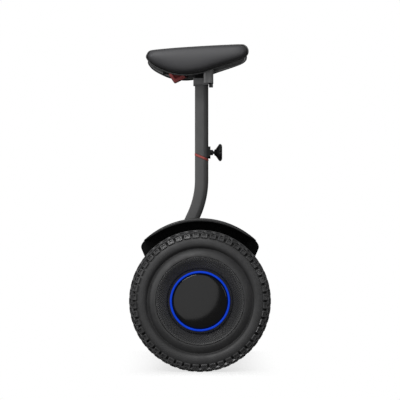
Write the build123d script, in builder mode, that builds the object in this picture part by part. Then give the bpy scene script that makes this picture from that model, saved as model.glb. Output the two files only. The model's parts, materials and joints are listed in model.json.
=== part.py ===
from build123d import *
import os
from math import cos, radians, sin, tan

# A two-wheeled, self-balancing stand-on transporter that the knees steer.
# Millimetres. X points to the front, Y to the rider's left and Z up.
# The origin is on the ground, under the middle of the wheels' axle line.

# Wheels
tyre_radius = 133
axle_height = tyre_radius
track_half = 239
tyre_half_width = 35
bead_radius = 82.5
rotor_radius = 70
inner_bearing_radius = 17.5
outer_bearing_radius = 14
shaft_radius = 8.5
shaft_end_radius = 6
running_gap = 0.05
light_ring_radius = 54.5
cover_screw_circle = 74.5

# Body under the feet
body_length = 196
body_width = 380
body_floor = 88
body_top = 150
body_wall = 4
cover_thickness = 4
deck_top = body_top + cover_thickness
mat_top = deck_top + 4
cavity_floor = body_floor + body_wall
corner_radius = 14
mat_length = 172
mat_width = 146
mat_centre = 110
rib_pitch = 9
boss_span_x = 168
boss_span_y = 352

# Fenders
fender_radius = 155.5
fender_skin = 3.5
fender_wall = 7
fender_reach = 252
fender_sweep = 44
fender_wall_sweep = 47.5
fender_corner = 8
fender_lip = 6

# Steering pivot
pivot_height = 120
pivot_radius = 7
barrel_radius = 24
barrel_back = 30
barrel_front = 104
bush_radius = 10
stem_rake = 14

# Stem
stem_x = -3.3
stem_depth = 27
stem_half_width = 18
stem_wall = 3
slide_gap = 0.3
upper_bend_radius = 171
upper_bend_height = 366
upper_bend_angle = 26
lower_bend_radius = 200
joint_slope = 22.5
joint_height = 410.2
band_thickness = 5
post_bottom = 372
post_top = 535
tube_top = 554.4
clamp_height = 420
screw_radius = 3
shoe_radius = 5

# Head
collar_top = 568.3
shelf_bottom = 588
shelf_top = 596
shell_inner = 66
shell_outer = 74
pad_outer = 101
head_screw_span_x = 52
head_screw_span_y = 112
lever_hinge_x = 27.5
lever_hinge_z = 574
lever_half_width = 15
lever_web = 8

sides = (("left", 1), ("right", -1))


def save(piece, name):
    """Labels a finished piece and writes it as its own STEP file."""
    piece.part.label = name
    export_step(piece.part, f"parts/{name}.step")


def wheel_plane(side):
    """A plane whose x is the wheel's radius and whose y runs outwards along its axle."""
    return Plane(origin=(0, side * track_half, axle_height), x_dir=(1, 0, 0), z_dir=(0, 0, side))


def wheel_face(side, outward):
    """A plane square to the axle, a distance outwards from the wheel's middle."""
    return Plane(
        origin=(0, side * (track_half + outward), axle_height),
        x_dir=(1, 0, 0),
        z_dir=(0, side, 0),
    )


def turn_profile(side, corners):
    """Turns an outline of (radius, outward) corners about the wheel's axle."""
    with BuildSketch(wheel_plane(side)) as profile:
        with BuildLine():
            Polyline(*corners, close=True)
        make_face()
    revolve(profile.sketch, axis=Axis((0, side * track_half, axle_height), (0, 1, 0)))


def stem_outline(inset=0.0):
    """The stem's section: flat front and sides, and facets to the narrow rear face."""
    half = stem_depth / 2
    with BuildLine() as outline:
        Polyline(
            (half, -stem_half_width),
            (half, stem_half_width),
            (-4.5, stem_half_width),
            (-10, 14),
            (-half, 7),
            (-half, -7),
            (-10, -14),
            (-4.5, -stem_half_width),
            close=True,
        )
    make_face(outline.edges())
    if inset:
        offset(amount=-inset, kind=Kind.INTERSECTION, mode=Mode.REPLACE)


def stem_bend(angle):
    """The stem's centre line in its upper bend, by how far it has turned forwards."""
    turn = radians(angle)
    return (
        stem_x + upper_bend_radius * (1 - cos(turn)),
        upper_bend_height - upper_bend_radius * sin(turn),
    )


def stem_reverse_bend(angle):
    """The stem's centre line in its lower bend, which turns back to the rake angle."""
    start_x, start_z = stem_bend(upper_bend_angle)
    turn = radians(angle)
    full = radians(upper_bend_angle)
    return (
        start_x + lower_bend_radius * (cos(turn) - cos(full)),
        start_z + lower_bend_radius * (sin(turn) - sin(full)),
    )


def joint_plane(rise):
    """The slanting plane of the joint in the stem, rise above the band's middle."""
    lean = radians(joint_slope)
    return Plane(
        origin=(stem_x - rise * sin(lean), 0, joint_height + rise * cos(lean)),
        x_dir=(0, 1, 0),
        z_dir=(-sin(lean), 0, cos(lean)),
    )


def across(y):
    """An upright plane facing along Y, with X to its right and Z up."""
    return Plane(origin=(0, y, 0), x_dir=(1, 0, 0), z_dir=(0, -1, 0))


def facing_x(x, z=0.0):
    """An upright plane facing the front, with Y to its right and Z up."""
    return Plane(origin=(x, 0, z), x_dir=(0, 1, 0), z_dir=(1, 0, 0))


# ---- wheels -------------------------------------------------------------------------

for hand, side in sides:
    with BuildPart() as tyre:
        turn_profile(
            side,
            [
                (bead_radius, 22), (bead_radius, 33.2), (84, 34), (95, 32.2), (98, 30.2),
                (100.5, 30.2), (103, 33), (112, tyre_half_width), (125, 32.5), (130.5, 27),
                (tyre_radius, 20), (tyre_radius, -20), (130.5, -27), (125, -32.5),
                (112, -tyre_half_width), (103, -33), (95, -32.2), (bead_radius, -33.2),
                (bead_radius, -29), (96, -28), (112, -29), (121, -26), (126, -18),
                (126, 18), (121, 26), (112, 29), (96, 27), (88, 23),
            ],
        )
    save(tyre, f"{hand}_tyre")

    with BuildPart() as rim:
        turn_profile(
            side,
            [
                (bead_radius - 0.1, -33), (bead_radius - 0.1, 29), (79, 29), (79, 19),
                (outer_bearing_radius, 19), (outer_bearing_radius, 11), (18, 11), (18, 14),
                (rotor_radius, 14), (rotor_radius, -17), (79, -17), (79, -33),
            ],
        )
        with BuildSketch(wheel_face(side, -17)):
            with PolarLocations(cover_screw_circle, 6):
                Circle(2.05)
        extrude(amount=6, mode=Mode.SUBTRACT)
        with BuildSketch(Plane(origin=(0, side * (track_half - 26.4), axle_height), z_dir=(0, 0, -1))):
            Circle(2.25)
        extrude(amount=90, mode=Mode.SUBTRACT)
    save(rim, f"{hand}_rim")

    with BuildPart() as valve:
        with BuildSketch(Plane(origin=(0, side * (track_half - 26.4), axle_height - 66), z_dir=(0, 0, -1))):
            Circle(2.2)
        extrude(amount=20)
        chamfer(valve.edges().sort_by(Axis.Z)[-1], length=0.6)
    save(valve, f"{hand}_valve")

    with BuildPart() as magnet_ring:
        with BuildSketch(wheel_face(side, -10)):
            Circle(rotor_radius)
            Circle(rotor_radius - 4, mode=Mode.SUBTRACT)
            with PolarLocations(rotor_radius - 4, 24):
                Rectangle(2, 3, mode=Mode.SUBTRACT)
        extrude(amount=19)
    save(magnet_ring, f"{hand}_magnet_ring")

    with BuildPart() as bearings:
        turn_profile(
            side,
            [
                (shaft_radius + running_gap, -22), (inner_bearing_radius, -22),
                (inner_bearing_radius, -12), (shaft_radius + running_gap, -12),
            ],
        )
        turn_profile(
            side,
            [
                (shaft_end_radius + running_gap, 11), (outer_bearing_radius, 11),
                (outer_bearing_radius, 19), (shaft_end_radius + running_gap, 19),
            ],
        )
    save(bearings, f"{hand}_bearings")

    with BuildPart() as motor_cover:
        turn_profile(
            side,
            [
                (inner_bearing_radius, -22), (52, -24), (70, -22), (78.9, -22), (78.9, -17),
                (21.5, -17), (21.5, -12), (inner_bearing_radius, -12),
            ],
        )
        with BuildSketch(wheel_face(side, -25)):
            with PolarLocations(cover_screw_circle, 6):
                Circle(2.05)
        extrude(amount=9, mode=Mode.SUBTRACT)
    save(motor_cover, f"{hand}_motor_cover")

    with BuildPart() as cover_screws:
        with BuildSketch(wheel_face(side, -22)):
            with PolarLocations(cover_screw_circle, 6):
                Circle(2)
        extrude(amount=11)
        with BuildSketch(wheel_face(side, -22)):
            with PolarLocations(cover_screw_circle, 6):
                Circle(3.5)
                RegularPolygon(1.6, 6, mode=Mode.SUBTRACT)
        extrude(amount=-2)
    save(cover_screws, f"{hand}_cover_screws")

    with BuildPart() as dish:
        turn_profile(
            side,
            [
                (81.9, 29.1), (81.9, 33.4), (80, 33.4), (74, 29), (67, 25.6), (60, 24),
                (22, 24), (22, 21), (60, 21), (68, 22.5), (75.5, 26.3), (78.9, 29.1),
            ],
        )
    save(dish, f"{hand}_dish")

    with BuildPart() as light_ring:
        turn_profile(
            side,
            [
                (light_ring_radius - 2, 24), (light_ring_radius - 2, 33.6),
                (light_ring_radius - 1, 34.6), (light_ring_radius + 1, 34.6),
                (light_ring_radius + 2, 33.6), (light_ring_radius + 2, 24),
            ],
        )
    save(light_ring, f"{hand}_light_ring")

    with BuildPart() as hub_cap:
        turn_profile(
            side,
            [
                (52.3, 24), (52.3, 32), (50.3, 34), (42, 34.8), (0, tyre_half_width),
                (0, 32), (41, 31.8), (47, 30.4), (49, 28), (49, 24),
            ],
        )
    save(hub_cap, f"{hand}_hub_cap")

with BuildPart() as motor_stators:
    for hand, side in sides:
        with BuildSketch(wheel_face(side, -9)):
            Circle(rotor_radius - 5)
            with PolarLocations(rotor_radius - 14, 18):
                Rectangle(20, 4, mode=Mode.SUBTRACT)
            Circle(shaft_radius + running_gap, mode=Mode.SUBTRACT)
        extrude(amount=17)
save(motor_stators, "motor_stators")

with BuildPart() as wheel_axles:
    for hand, side in sides:
        turn_profile(
            side,
            [
                (0, -89), (shaft_radius, -89), (shaft_radius, 10), (shaft_end_radius, 10),
                (shaft_end_radius, 19.3), (9.5, 19.3), (9.5, 23), (0, 23),
            ],
        )
save(wheel_axles, "wheel_axles")

# ---- body under the feet ------------------------------------------------------------

side_screw_places = [(-70, 104), (70, 104)]

with BuildPart() as chassis:
    with BuildSketch(Plane.XY.offset(body_floor)):
        RectangleRounded(body_length, body_width, corner_radius)
    extrude(amount=body_top - body_floor)
    with BuildSketch(Plane.XY.offset(cavity_floor)):
        RectangleRounded(
            body_length - 2 * body_wall, body_width - 2 * body_wall, corner_radius - body_wall
        )
    extrude(amount=body_top - cavity_floor, mode=Mode.SUBTRACT)
    with BuildSketch(Plane.XY.offset(cavity_floor)):
        with GridLocations(boss_span_x, boss_span_y, 2, 2):
            Circle(5)
    extrude(amount=body_top - cavity_floor)
    with BuildSketch(Plane.XY.offset(body_floor)):
        with GridLocations(boss_span_x, boss_span_y, 2, 2):
            Circle(2.05)
    extrude(amount=body_top - body_floor, mode=Mode.SUBTRACT)
    with BuildSketch(facing_x(body_length / 2 - body_wall - 1, pivot_height)):
        with Locations((0, 15)):
            Rectangle(2 * barrel_radius + 6, 84)
    extrude(amount=10, mode=Mode.SUBTRACT)
    with BuildSketch(across(body_width)):
        with Locations((0, axle_height)):
            Circle(shaft_radius + 0.3)
    extrude(amount=2 * body_width, mode=Mode.SUBTRACT)
    for hand, side in sides:
        with BuildSketch(across(side * (body_width / 2 + 1))):
            with Locations(*side_screw_places):
                Circle(2.05)
        extrude(amount=side * 6, mode=Mode.SUBTRACT)
    with BuildSketch(facing_x(-body_length / 2 - 1, pivot_height)):
        Circle(9.1)
    extrude(amount=8, mode=Mode.SUBTRACT)
save(chassis, "chassis")

with BuildPart() as bottom_cover:
    with BuildSketch(Plane.XY.offset(body_floor - cover_thickness)):
        RectangleRounded(body_length - 4, body_width - 4, corner_radius - 2)
    extrude(amount=cover_thickness)
    chamfer(bottom_cover.faces().sort_by(Axis.Z)[0].edges(), length=2)
    with BuildSketch(Plane.XY.offset(body_floor - cover_thickness)):
        with GridLocations(boss_span_x, boss_span_y, 2, 2):
            Circle(4.2)
    extrude(amount=2.4, mode=Mode.SUBTRACT)
    with BuildSketch(Plane.XY.offset(body_floor - cover_thickness)):
        with GridLocations(boss_span_x, boss_span_y, 2, 2):
            Circle(2.05)
    extrude(amount=cover_thickness, mode=Mode.SUBTRACT)
save(bottom_cover, "bottom_cover")

slot_back = 34
slot_front = 72
button_x = -62

with BuildPart() as deck_cover:
    with BuildSketch(Plane.XY.offset(body_top)):
        RectangleRounded(body_length, body_width - 0.4, corner_radius)
        with Locations(((slot_back + slot_front) / 2, 0)):
            RectangleRounded(slot_front - slot_back, 60, 5, mode=Mode.SUBTRACT)
        with Locations((button_x, 0)):
            Circle(10.4, mode=Mode.SUBTRACT)
        with GridLocations(boss_span_x, boss_span_y, 2, 2):
            Circle(2.05, mode=Mode.SUBTRACT)
    extrude(amount=cover_thickness)
    with BuildSketch(Plane.XY.offset(deck_top)):
        with GridLocations(boss_span_x, boss_span_y, 2, 2):
            Circle(4.2)
    extrude(amount=-2.4, mode=Mode.SUBTRACT)
save(deck_cover, "deck_cover")

for hand, side in sides:
    with BuildPart() as foot_mat:
        with BuildSketch(Plane.XY.offset(deck_top)):
            with Locations((0, side * mat_centre)):
                RectangleRounded(mat_length - 18, mat_width - 24, 10)
        extrude(amount=2)
        with BuildSketch(Plane.XY.offset(deck_top + 2)):
            with Locations((0, side * mat_centre)):
                with GridLocations(rib_pitch, 0, 17, 1):
                    SlotOverall(mat_width - 34, 4.5, rotation=90)
        extrude(amount=mat_top - deck_top - 2)
    save(foot_mat, f"{hand}_foot_mat")

with BuildPart() as battery_packs:
    with BuildSketch(Plane.XY.offset(cavity_floor)):
        with Locations((-48, 78), (-48, -78)):
            RectangleRounded(72, 108, 6)
    extrude(amount=50)
    fillet(battery_packs.faces().group_by(Axis.Z)[-1].edges(), radius=3)
save(battery_packs, "battery_packs")

with BuildPart() as control_board:
    with BuildSketch(Plane.XY.offset(100)):
        with Locations((62, 90)):
            RectangleRounded(52, 96, 3)
    extrude(amount=1.6)
    with BuildSketch(Plane.XY.offset(101.6)):
        with Locations((62, 90)):
            with GridLocations(22, 30, 2, 3):
                Rectangle(14, 16)
    extrude(amount=8)
    with BuildSketch(Plane.XY.offset(cavity_floor)):
        with Locations((62, 90)):
            with GridLocations(44, 88, 2, 2):
                Circle(3)
    extrude(amount=100 - cavity_floor)
save(control_board, "control_board")

clamp_bolt_x = 17
clamp_split = 0.4

with BuildPart() as axle_clamps:
    for hand, side in sides:
        with BuildSketch(across(side * 167 + 17)):
            with Locations((0, (cavity_floor + axle_height - clamp_split) / 2)):
                Rectangle(50, axle_height - clamp_split - cavity_floor)
            with Locations((0, axle_height + clamp_split + 6.4)):
                Rectangle(50, 12.8)
            with Locations((0, axle_height)):
                Circle(shaft_radius + running_gap, mode=Mode.SUBTRACT)
        extrude(amount=34)
        with BuildSketch(Plane.XY.offset(146.2)):
            with Locations((clamp_bolt_x, side * 167), (-clamp_bolt_x, side * 167)):
                Circle(2.55)
        extrude(amount=-40, mode=Mode.SUBTRACT)
        with BuildSketch(Plane.XY.offset(146.2)):
            with Locations((clamp_bolt_x, side * 167), (-clamp_bolt_x, side * 167)):
                Circle(4.6)
        extrude(amount=-4.5, mode=Mode.SUBTRACT)
save(axle_clamps, "axle_clamps")

with BuildPart() as chassis_screws:
    with BuildSketch(Plane.XY.offset(body_floor - 3.6)):
        with GridLocations(boss_span_x, boss_span_y, 2, 2):
            Circle(4)
            RegularPolygon(1.8, 6, mode=Mode.SUBTRACT)
    extrude(amount=2)
    with BuildSketch(Plane.XY.offset(body_floor - 1.6)):
        with GridLocations(boss_span_x, boss_span_y, 2, 2):
            Circle(2)
    extrude(amount=20)
    with BuildSketch(Plane.XY.offset(deck_top - 0.4)):
        with GridLocations(boss_span_x, boss_span_y, 2, 2):
            Circle(4)
            RegularPolygon(1.8, 6, mode=Mode.SUBTRACT)
    extrude(amount=-2)
    with BuildSketch(Plane.XY.offset(deck_top - 2.4)):
        with GridLocations(boss_span_x, boss_span_y, 2, 2):
            Circle(2)
    extrude(amount=-20)
    for hand, side in sides:
        with BuildSketch(Plane.XY.offset(145.8)):
            with Locations((clamp_bolt_x, side * 167), (-clamp_bolt_x, side * 167)):
                Circle(4.5)
        extrude(amount=-4)
        with BuildSketch(Plane.XY.offset(141.8)):
            with Locations((clamp_bolt_x, side * 167), (-clamp_bolt_x, side * 167)):
                Circle(2.5)
        extrude(amount=-30)
        with BuildSketch(across(side * (body_width / 2 + fender_wall))):
            with Locations(*side_screw_places):
                Circle(4)
        extrude(amount=-side * 2)
        with BuildSketch(across(side * (body_width / 2 + fender_wall))):
            with Locations(*side_screw_places):
                Circle(2)
        extrude(amount=side * (fender_wall + body_wall))
save(chassis_screws, "chassis_screws")

# ---- fenders ------------------------------------------------------------------------

fender_waist = axle_height + 64


def fender_arc(drop, end_drop, sweep=fender_sweep):
    """The fender's arc over the wheel, drop below the top and end_drop at its ends."""
    end_x = (fender_radius - end_drop) * sin(radians(sweep))
    end_z = axle_height + (fender_radius - end_drop) * cos(radians(sweep))
    ThreePointArc((-end_x, end_z), (0, axle_height + fender_radius - drop), (end_x, end_z))
    return end_x, end_z


for hand, side in sides:
    with BuildPart() as fender:
        with BuildSketch(across(side * body_width / 2)):
            with BuildLine():
                end_x, end_z = fender_arc(0, 0, fender_wall_sweep)
                Polyline(
                    (end_x, end_z),
                    (body_length / 2, fender_waist),
                    (body_length / 2, body_floor),
                    (-body_length / 2, body_floor),
                    (-body_length / 2, fender_waist),
                    (-end_x, end_z),
                )
            make_face()
            with Locations((0, axle_height)):
                Circle(shaft_radius + 0.3, mode=Mode.SUBTRACT)
            with Locations(*side_screw_places):
                Circle(2.05, mode=Mode.SUBTRACT)
        extrude(amount=-side * fender_wall)
        upright_edges = fender.edges().filter_by(Axis.Y)
        fillet(upright_edges.filter_by_position(Axis.Z, end_z - 1, end_z + 1), radius=fender_corner)
        with BuildSketch(across(side * (body_width / 2 + fender_wall))):
            with BuildLine():
                end_x, end_z = fender_arc(0, 0)
                low_x, low_z = fender_arc(fender_skin, fender_skin)
                Line((end_x, end_z), (low_x, low_z))
                Line((-end_x, end_z), (-low_x, low_z))
            make_face()
        extrude(amount=-side * (fender_reach - body_width / 2 - fender_wall))
        with BuildSketch(across(side * (fender_reach - 4))):
            with BuildLine():
                end_x, end_z = fender_arc(0, 0)
                low_x, low_z = fender_arc(fender_lip, fender_skin)
                Line((end_x, end_z), (low_x, low_z))
                Line((-end_x, end_z), (-low_x, low_z))
            make_face()
        extrude(amount=-side * 4)
        fillet(fender.edges().filter_by(Axis.Y).group_by(Axis.Z)[0], radius=8)
    save(fender, f"{hand}_fender")

# ---- lights, socket and button ------------------------------------------------------

for name, end in (("headlights", 1), ("tail_lights", -1)):
    with BuildPart() as lights:
        with BuildSketch(facing_x(end * body_length / 2, 126)):
            with GridLocations(210, 0, 2, 1):
                SlotOverall(90, 12)
        extrude(amount=end * 3)
        fillet(lights.faces().sort_by(Axis.X)[::end][-2:].edges(), radius=1.2)
    save(lights, name)

socket_face = -body_length / 2 - 2
socket_bore = 7.5
socket_depth = 8
cap_seat_radius = 8.6
cap_seat_depth = 1.6
cap_hinge_z = pivot_height + 15.5
cap_hinge_x = socket_face - 2.2

with BuildPart() as charge_socket:
    with BuildSketch(facing_x(-76, pivot_height)):
        Circle(9)
    extrude(amount=-22)
    with BuildSketch(facing_x(-body_length / 2, pivot_height)):
        Circle(12.5)
    extrude(amount=-2)
    for y in (-6, 6):
        with BuildSketch(across(y + 1)):
            with Locations((socket_face - 0.5, cap_hinge_z - 1)):
                Rectangle(5, 5.6)
        extrude(amount=2)
    with BuildSketch(across(7)):
        with Locations((socket_face + 1, cap_hinge_z - 4.4)):
            Rectangle(2, 4)
    extrude(amount=14)
    with BuildSketch(facing_x(socket_face, pivot_height)):
        Circle(cap_seat_radius)
    extrude(amount=cap_seat_depth, mode=Mode.SUBTRACT)
    with BuildSketch(facing_x(socket_face + cap_seat_depth, pivot_height)):
        Circle(socket_bore)
    extrude(amount=socket_depth, mode=Mode.SUBTRACT)
    with BuildSketch(facing_x(socket_face + cap_seat_depth + socket_depth, pivot_height)):
        Circle(socket_bore - 0.6)
    extrude(amount=7, mode=Mode.SUBTRACT)
    with BuildSketch(facing_x(socket_face + cap_seat_depth + socket_depth + 7, pivot_height)):
        with PolarLocations(3.6, 3):
            Circle(1)
    extrude(amount=-6.6)
    with BuildSketch(across(8)):
        with Locations((cap_hinge_x, cap_hinge_z)):
            Circle(1)
    extrude(amount=16)
save(charge_socket, "charge_socket")

with BuildPart() as charge_cap:
    with BuildSketch(facing_x(socket_face - 0.3, pivot_height)):
        Circle(11)
    extrude(amount=-2)
    with BuildSketch(facing_x(socket_face - 0.3, pivot_height)):
        Circle(cap_seat_radius - 0.4)
    extrude(amount=1.5)
    with BuildSketch(across(4.6)):
        with Locations((cap_hinge_x, cap_hinge_z)):
            Circle(1.9)
        with Locations((cap_hinge_x + 0.9, cap_hinge_z - 4)):
            Rectangle(1.9, 8)
    extrude(amount=9.2)
    with BuildSketch(across(8)):
        with Locations((cap_hinge_x, cap_hinge_z)):
            Circle(1 + running_gap)
    extrude(amount=16, mode=Mode.SUBTRACT)
save(charge_cap, "charge_cap")

with BuildPart() as power_button:
    with BuildSketch(Plane.XY.offset(149.4)):
        with Locations((button_x, 0)):
            Circle(13)
    extrude(amount=-1.6)
    with BuildSketch(Plane.XY.offset(149.4)):
        with Locations((button_x, 0)):
            Circle(10)
    extrude(amount=7)
    fillet(power_button.faces().sort_by(Axis.Z)[-1].edges(), radius=1)
save(power_button, "power_button")

# ---- steering pivot -----------------------------------------------------------------

bracket_back = 6
bracket_front = 26
shaft_front = 90

with BuildPart() as pivot_bracket:
    with BuildSketch(facing_x(bracket_back)):
        with Locations((0, (cavity_floor + pivot_height) / 2)):
            Rectangle(70, pivot_height - cavity_floor)
        with Locations((0, pivot_height)):
            Circle(22)
            Circle(pivot_radius + running_gap, mode=Mode.SUBTRACT)
    extrude(amount=bracket_front - bracket_back)
    fillet(pivot_bracket.edges().filter_by(Axis.X).group_by(Axis.Z)[-1], radius=0.5)
save(pivot_bracket, "pivot_bracket")

with BuildPart() as pivot_shaft:
    with BuildSketch(facing_x(bracket_back - 8, pivot_height)):
        Circle(pivot_radius)
    extrude(amount=shaft_front - bracket_back + 8)
    with BuildSketch(facing_x(bracket_back - 8, pivot_height)):
        RegularPolygon(12, 6)
    extrude(amount=6)
save(pivot_shaft, "pivot_shaft")

with BuildPart() as pivot_bushes:
    for start, stop in ((barrel_back, barrel_back + 18), (72, shaft_front)):
        with BuildSketch(facing_x(start, pivot_height)):
            Circle(bush_radius)
            Circle(pivot_radius + running_gap, mode=Mode.SUBTRACT)
        extrude(amount=stop - start)
save(pivot_bushes, "pivot_bushes")

rake = radians(stem_rake)
rake_start = stem_reverse_bend(stem_rake)
stem_foot = (rake_start[0] + (rake_start[1] - pivot_height) * tan(rake), pivot_height)
stem_foot_plane = Plane(
    origin=(stem_foot[0], 0, stem_foot[1]),
    x_dir=(cos(rake), 0, sin(rake)),
    z_dir=(-sin(rake), 0, cos(rake)),
)
spigot_height = 62
foot_screw_rises = (36, 52)


def stem_screw_plane(y):
    """A plane across the raked foot of the stem, with its y running up the stem."""
    return Plane(
        origin=(stem_foot[0], y, stem_foot[1]), x_dir=(cos(rake), 0, sin(rake)), z_dir=(0, -1, 0)
    )


with BuildPart() as steering_barrel:
    with BuildSketch(facing_x(barrel_back, pivot_height)):
        Circle(barrel_radius)
    extrude(amount=barrel_front - barrel_back)
    fillet(steering_barrel.faces().sort_by(Axis.X)[-1].edges(), radius=9)
    with BuildSketch(stem_foot_plane):
        stem_outline(inset=stem_wall + running_gap)
    extrude(amount=spigot_height)
    with BuildSketch(stem_screw_plane(40)):
        with Locations(*[(0, rise) for rise in foot_screw_rises]):
            Circle(2.55)
    extrude(amount=80, mode=Mode.SUBTRACT)
    with BuildSketch(facing_x(barrel_back, pivot_height)):
        Circle(bush_radius)
    extrude(amount=shaft_front + 2 - barrel_back, mode=Mode.SUBTRACT)
save(steering_barrel, "steering_barrel")

with BuildPart() as centring_spring:
    for turn in range(4):
        with BuildSketch(Plane(origin=(0, 0, pivot_height), x_dir=(1, 0, 0), z_dir=(0, -1, 0))):
            with Locations((-18 + 3.3 * turn, 15)):
                Circle(1.8)
        revolve(axis=Axis((0, 0, pivot_height), (1, 0, 0)))
    with BuildSketch(facing_x(-18, pivot_height)):
        with Locations((0, 15)):
            Circle(1.7)
    extrude(amount=24)
save(centring_spring, "centring_spring")

# ---- stem ---------------------------------------------------------------------------


def stem_sweep(inset):
    """Sweeps the stem's section from the foot, through both bends, up past the joint."""
    with BuildLine() as path:
        Line((stem_foot[0], 0, stem_foot[1]), (rake_start[0], 0, rake_start[1]))
        half_turn = stem_reverse_bend((stem_rake + upper_bend_angle) / 2)
        bend_meet = stem_bend(upper_bend_angle)
        ThreePointArc(
            (rake_start[0], 0, rake_start[1]),
            (half_turn[0], 0, half_turn[1]),
            (bend_meet[0], 0, bend_meet[1]),
        )
        half_bend = stem_bend(upper_bend_angle / 2)
        ThreePointArc(
            (bend_meet[0], 0, bend_meet[1]),
            (half_bend[0], 0, half_bend[1]),
            (stem_x, 0, upper_bend_height),
        )
        Line((stem_x, 0, upper_bend_height), (stem_x, 0, joint_height + 30))
    with BuildSketch(stem_foot_plane) as section:
        stem_outline(inset)
    sweep(section.sketch, path=path.line, mode=Mode.SUBTRACT if inset else Mode.ADD)


with BuildPart() as lower_stem:
    stem_sweep(0)
    stem_sweep(stem_wall)
    split(bisect_by=joint_plane(-band_thickness / 2), keep=Keep.BOTTOM)
    with BuildSketch(facing_x(barrel_back, pivot_height)):
        Circle(barrel_radius + 0.05)
    extrude(amount=90, mode=Mode.SUBTRACT)
    with BuildSketch(stem_screw_plane(40)):
        with Locations(*[(0, rise) for rise in foot_screw_rises]):
            Circle(2.55)
    extrude(amount=80, mode=Mode.SUBTRACT)
    with BuildSketch(across(40)):
        with Locations((stem_x, 388)):
            Circle(2.05)
    extrude(amount=80, mode=Mode.SUBTRACT)
save(lower_stem, "lower_stem")

with BuildPart() as inner_post:
    with BuildSketch(Plane(origin=(stem_x, 0, post_bottom))):
        stem_outline(inset=stem_wall + slide_gap)
    extrude(amount=post_top - post_bottom)
    with BuildSketch(Plane(origin=(stem_x, 0, post_bottom))):
        stem_outline(inset=stem_wall + slide_gap + 2.5)
    extrude(amount=post_top - post_bottom, mode=Mode.SUBTRACT)
    with BuildSketch(across(40)):
        with Locations((stem_x, 388)):
            Circle(2.05)
    extrude(amount=80, mode=Mode.SUBTRACT)
save(inner_post, "inner_post")

with BuildPart() as stop_band:
    with BuildSketch(Plane(origin=(stem_x, 0, joint_height - 20))):
        stem_outline(inset=-0.4)
    extrude(amount=40)
    with BuildSketch(Plane(origin=(stem_x, 0, joint_height - 20))):
        stem_outline(inset=stem_wall)
    extrude(amount=40, mode=Mode.SUBTRACT)
    split(bisect_by=joint_plane(band_thickness / 2 - 0.05), keep=Keep.BOTTOM)
    split(bisect_by=joint_plane(-band_thickness / 2), keep=Keep.TOP)
save(stop_band, "stop_band")

with BuildPart() as stem_screws:
    for hand, side in sides:
        with BuildSketch(stem_screw_plane(side * stem_half_width)):
            with Locations(*[(0, rise) for rise in foot_screw_rises]):
                Circle(4.5)
                RegularPolygon(2, 6, mode=Mode.SUBTRACT)
        extrude(amount=-side * 2.5)
        with BuildSketch(stem_screw_plane(side * stem_half_width)):
            with Locations(*[(0, rise) for rise in foot_screw_rises]):
                Circle(2.5)
        extrude(amount=side * 14)
        with BuildSketch(across(side * (stem_half_width - 0.2))):
            with Locations((stem_x, 388)):
                Circle(2)
        extrude(amount=side * 7)
save(stem_screws, "stem_screws")

with BuildPart() as upper_tube:
    with BuildSketch(Plane(origin=(stem_x, 0, joint_height - 20))):
        stem_outline()
    extrude(amount=tube_top - joint_height + 20)
    with BuildSketch(Plane(origin=(stem_x, 0, joint_height - 20))):
        stem_outline(inset=stem_wall)
    extrude(amount=tube_top - joint_height + 20, mode=Mode.SUBTRACT)
    split(bisect_by=joint_plane(band_thickness / 2), keep=Keep.TOP)
    with BuildSketch(facing_x(stem_x - 5, clamp_height)):
        Circle(shoe_radius + 0.3)
    extrude(amount=-20, mode=Mode.SUBTRACT)
save(upper_tube, "upper_tube")

# ---- height clamp -------------------------------------------------------------------

tube_rear = stem_x - stem_depth / 2
boss_rear = tube_rear - 4.2
hub_rear = boss_rear - 5.3
shoe_front = tube_rear + 2.7
shoe_rear = shoe_front - 2
knob_axis = Axis((0, 0, clamp_height), (1, 0, 0))
knob_plane = Plane(origin=(0, 0, clamp_height), x_dir=(1, 0, 0), z_dir=(0, -1, 0))

with BuildPart() as clamp_boss:
    with BuildSketch(facing_x(boss_rear, clamp_height)):
        RectangleRounded(20, 24, 4)
    extrude(amount=8)
    with BuildSketch(Plane(origin=(stem_x, 0, clamp_height - 20))):
        stem_outline()
    extrude(amount=40, mode=Mode.SUBTRACT)
    with BuildSketch(facing_x(boss_rear, clamp_height)):
        Circle(5.5)
    extrude(amount=hub_rear - boss_rear)
    fillet(clamp_boss.faces().sort_by(Axis.X)[0].edges(), radius=1.5)
    with BuildSketch(facing_x(tube_rear + 10, clamp_height)):
        Circle(shoe_radius + 0.3)
    extrude(amount=-12.4, mode=Mode.SUBTRACT)
    with BuildSketch(facing_x(tube_rear + 10, clamp_height)):
        Circle(screw_radius)
    extrude(amount=-30, mode=Mode.SUBTRACT)
save(clamp_boss, "clamp_boss")

with BuildPart() as clamp_shoe:
    with BuildSketch(facing_x(shoe_rear, clamp_height)):
        Circle(shoe_radius)
    extrude(amount=shoe_front - shoe_rear)
    chamfer(clamp_shoe.faces().sort_by(Axis.X)[-1].edges(), length=0.4)
save(clamp_shoe, "clamp_shoe")

knob_radius = 17.5
knob_rear = -44.4

with BuildPart() as clamp_knob:
    with BuildSketch(knob_plane):
        with BuildLine():
            Polyline(
                (shoe_rear - 0.1, 0),
                (shoe_rear - 0.1, screw_radius - running_gap),
                (-28.4, screw_radius - running_gap),
                (-28.6, 5.5),
                (-31.5, 7),
                (-38.2, knob_radius - 1),
                (-39.4, knob_radius),
                (-41.4, knob_radius),
                (-43.6, 15.5),
                (knob_rear, 13),
                (knob_rear, 0),
                close=True,
            )
        make_face()
    revolve(axis=knob_axis)
    with BuildSketch(facing_x(-33, clamp_height)):
        with PolarLocations(knob_radius + 2.2, 8):
            Circle(4)
    extrude(amount=-14, mode=Mode.SUBTRACT)
save(clamp_knob, "clamp_knob")

# ---- head ---------------------------------------------------------------------------

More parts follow.
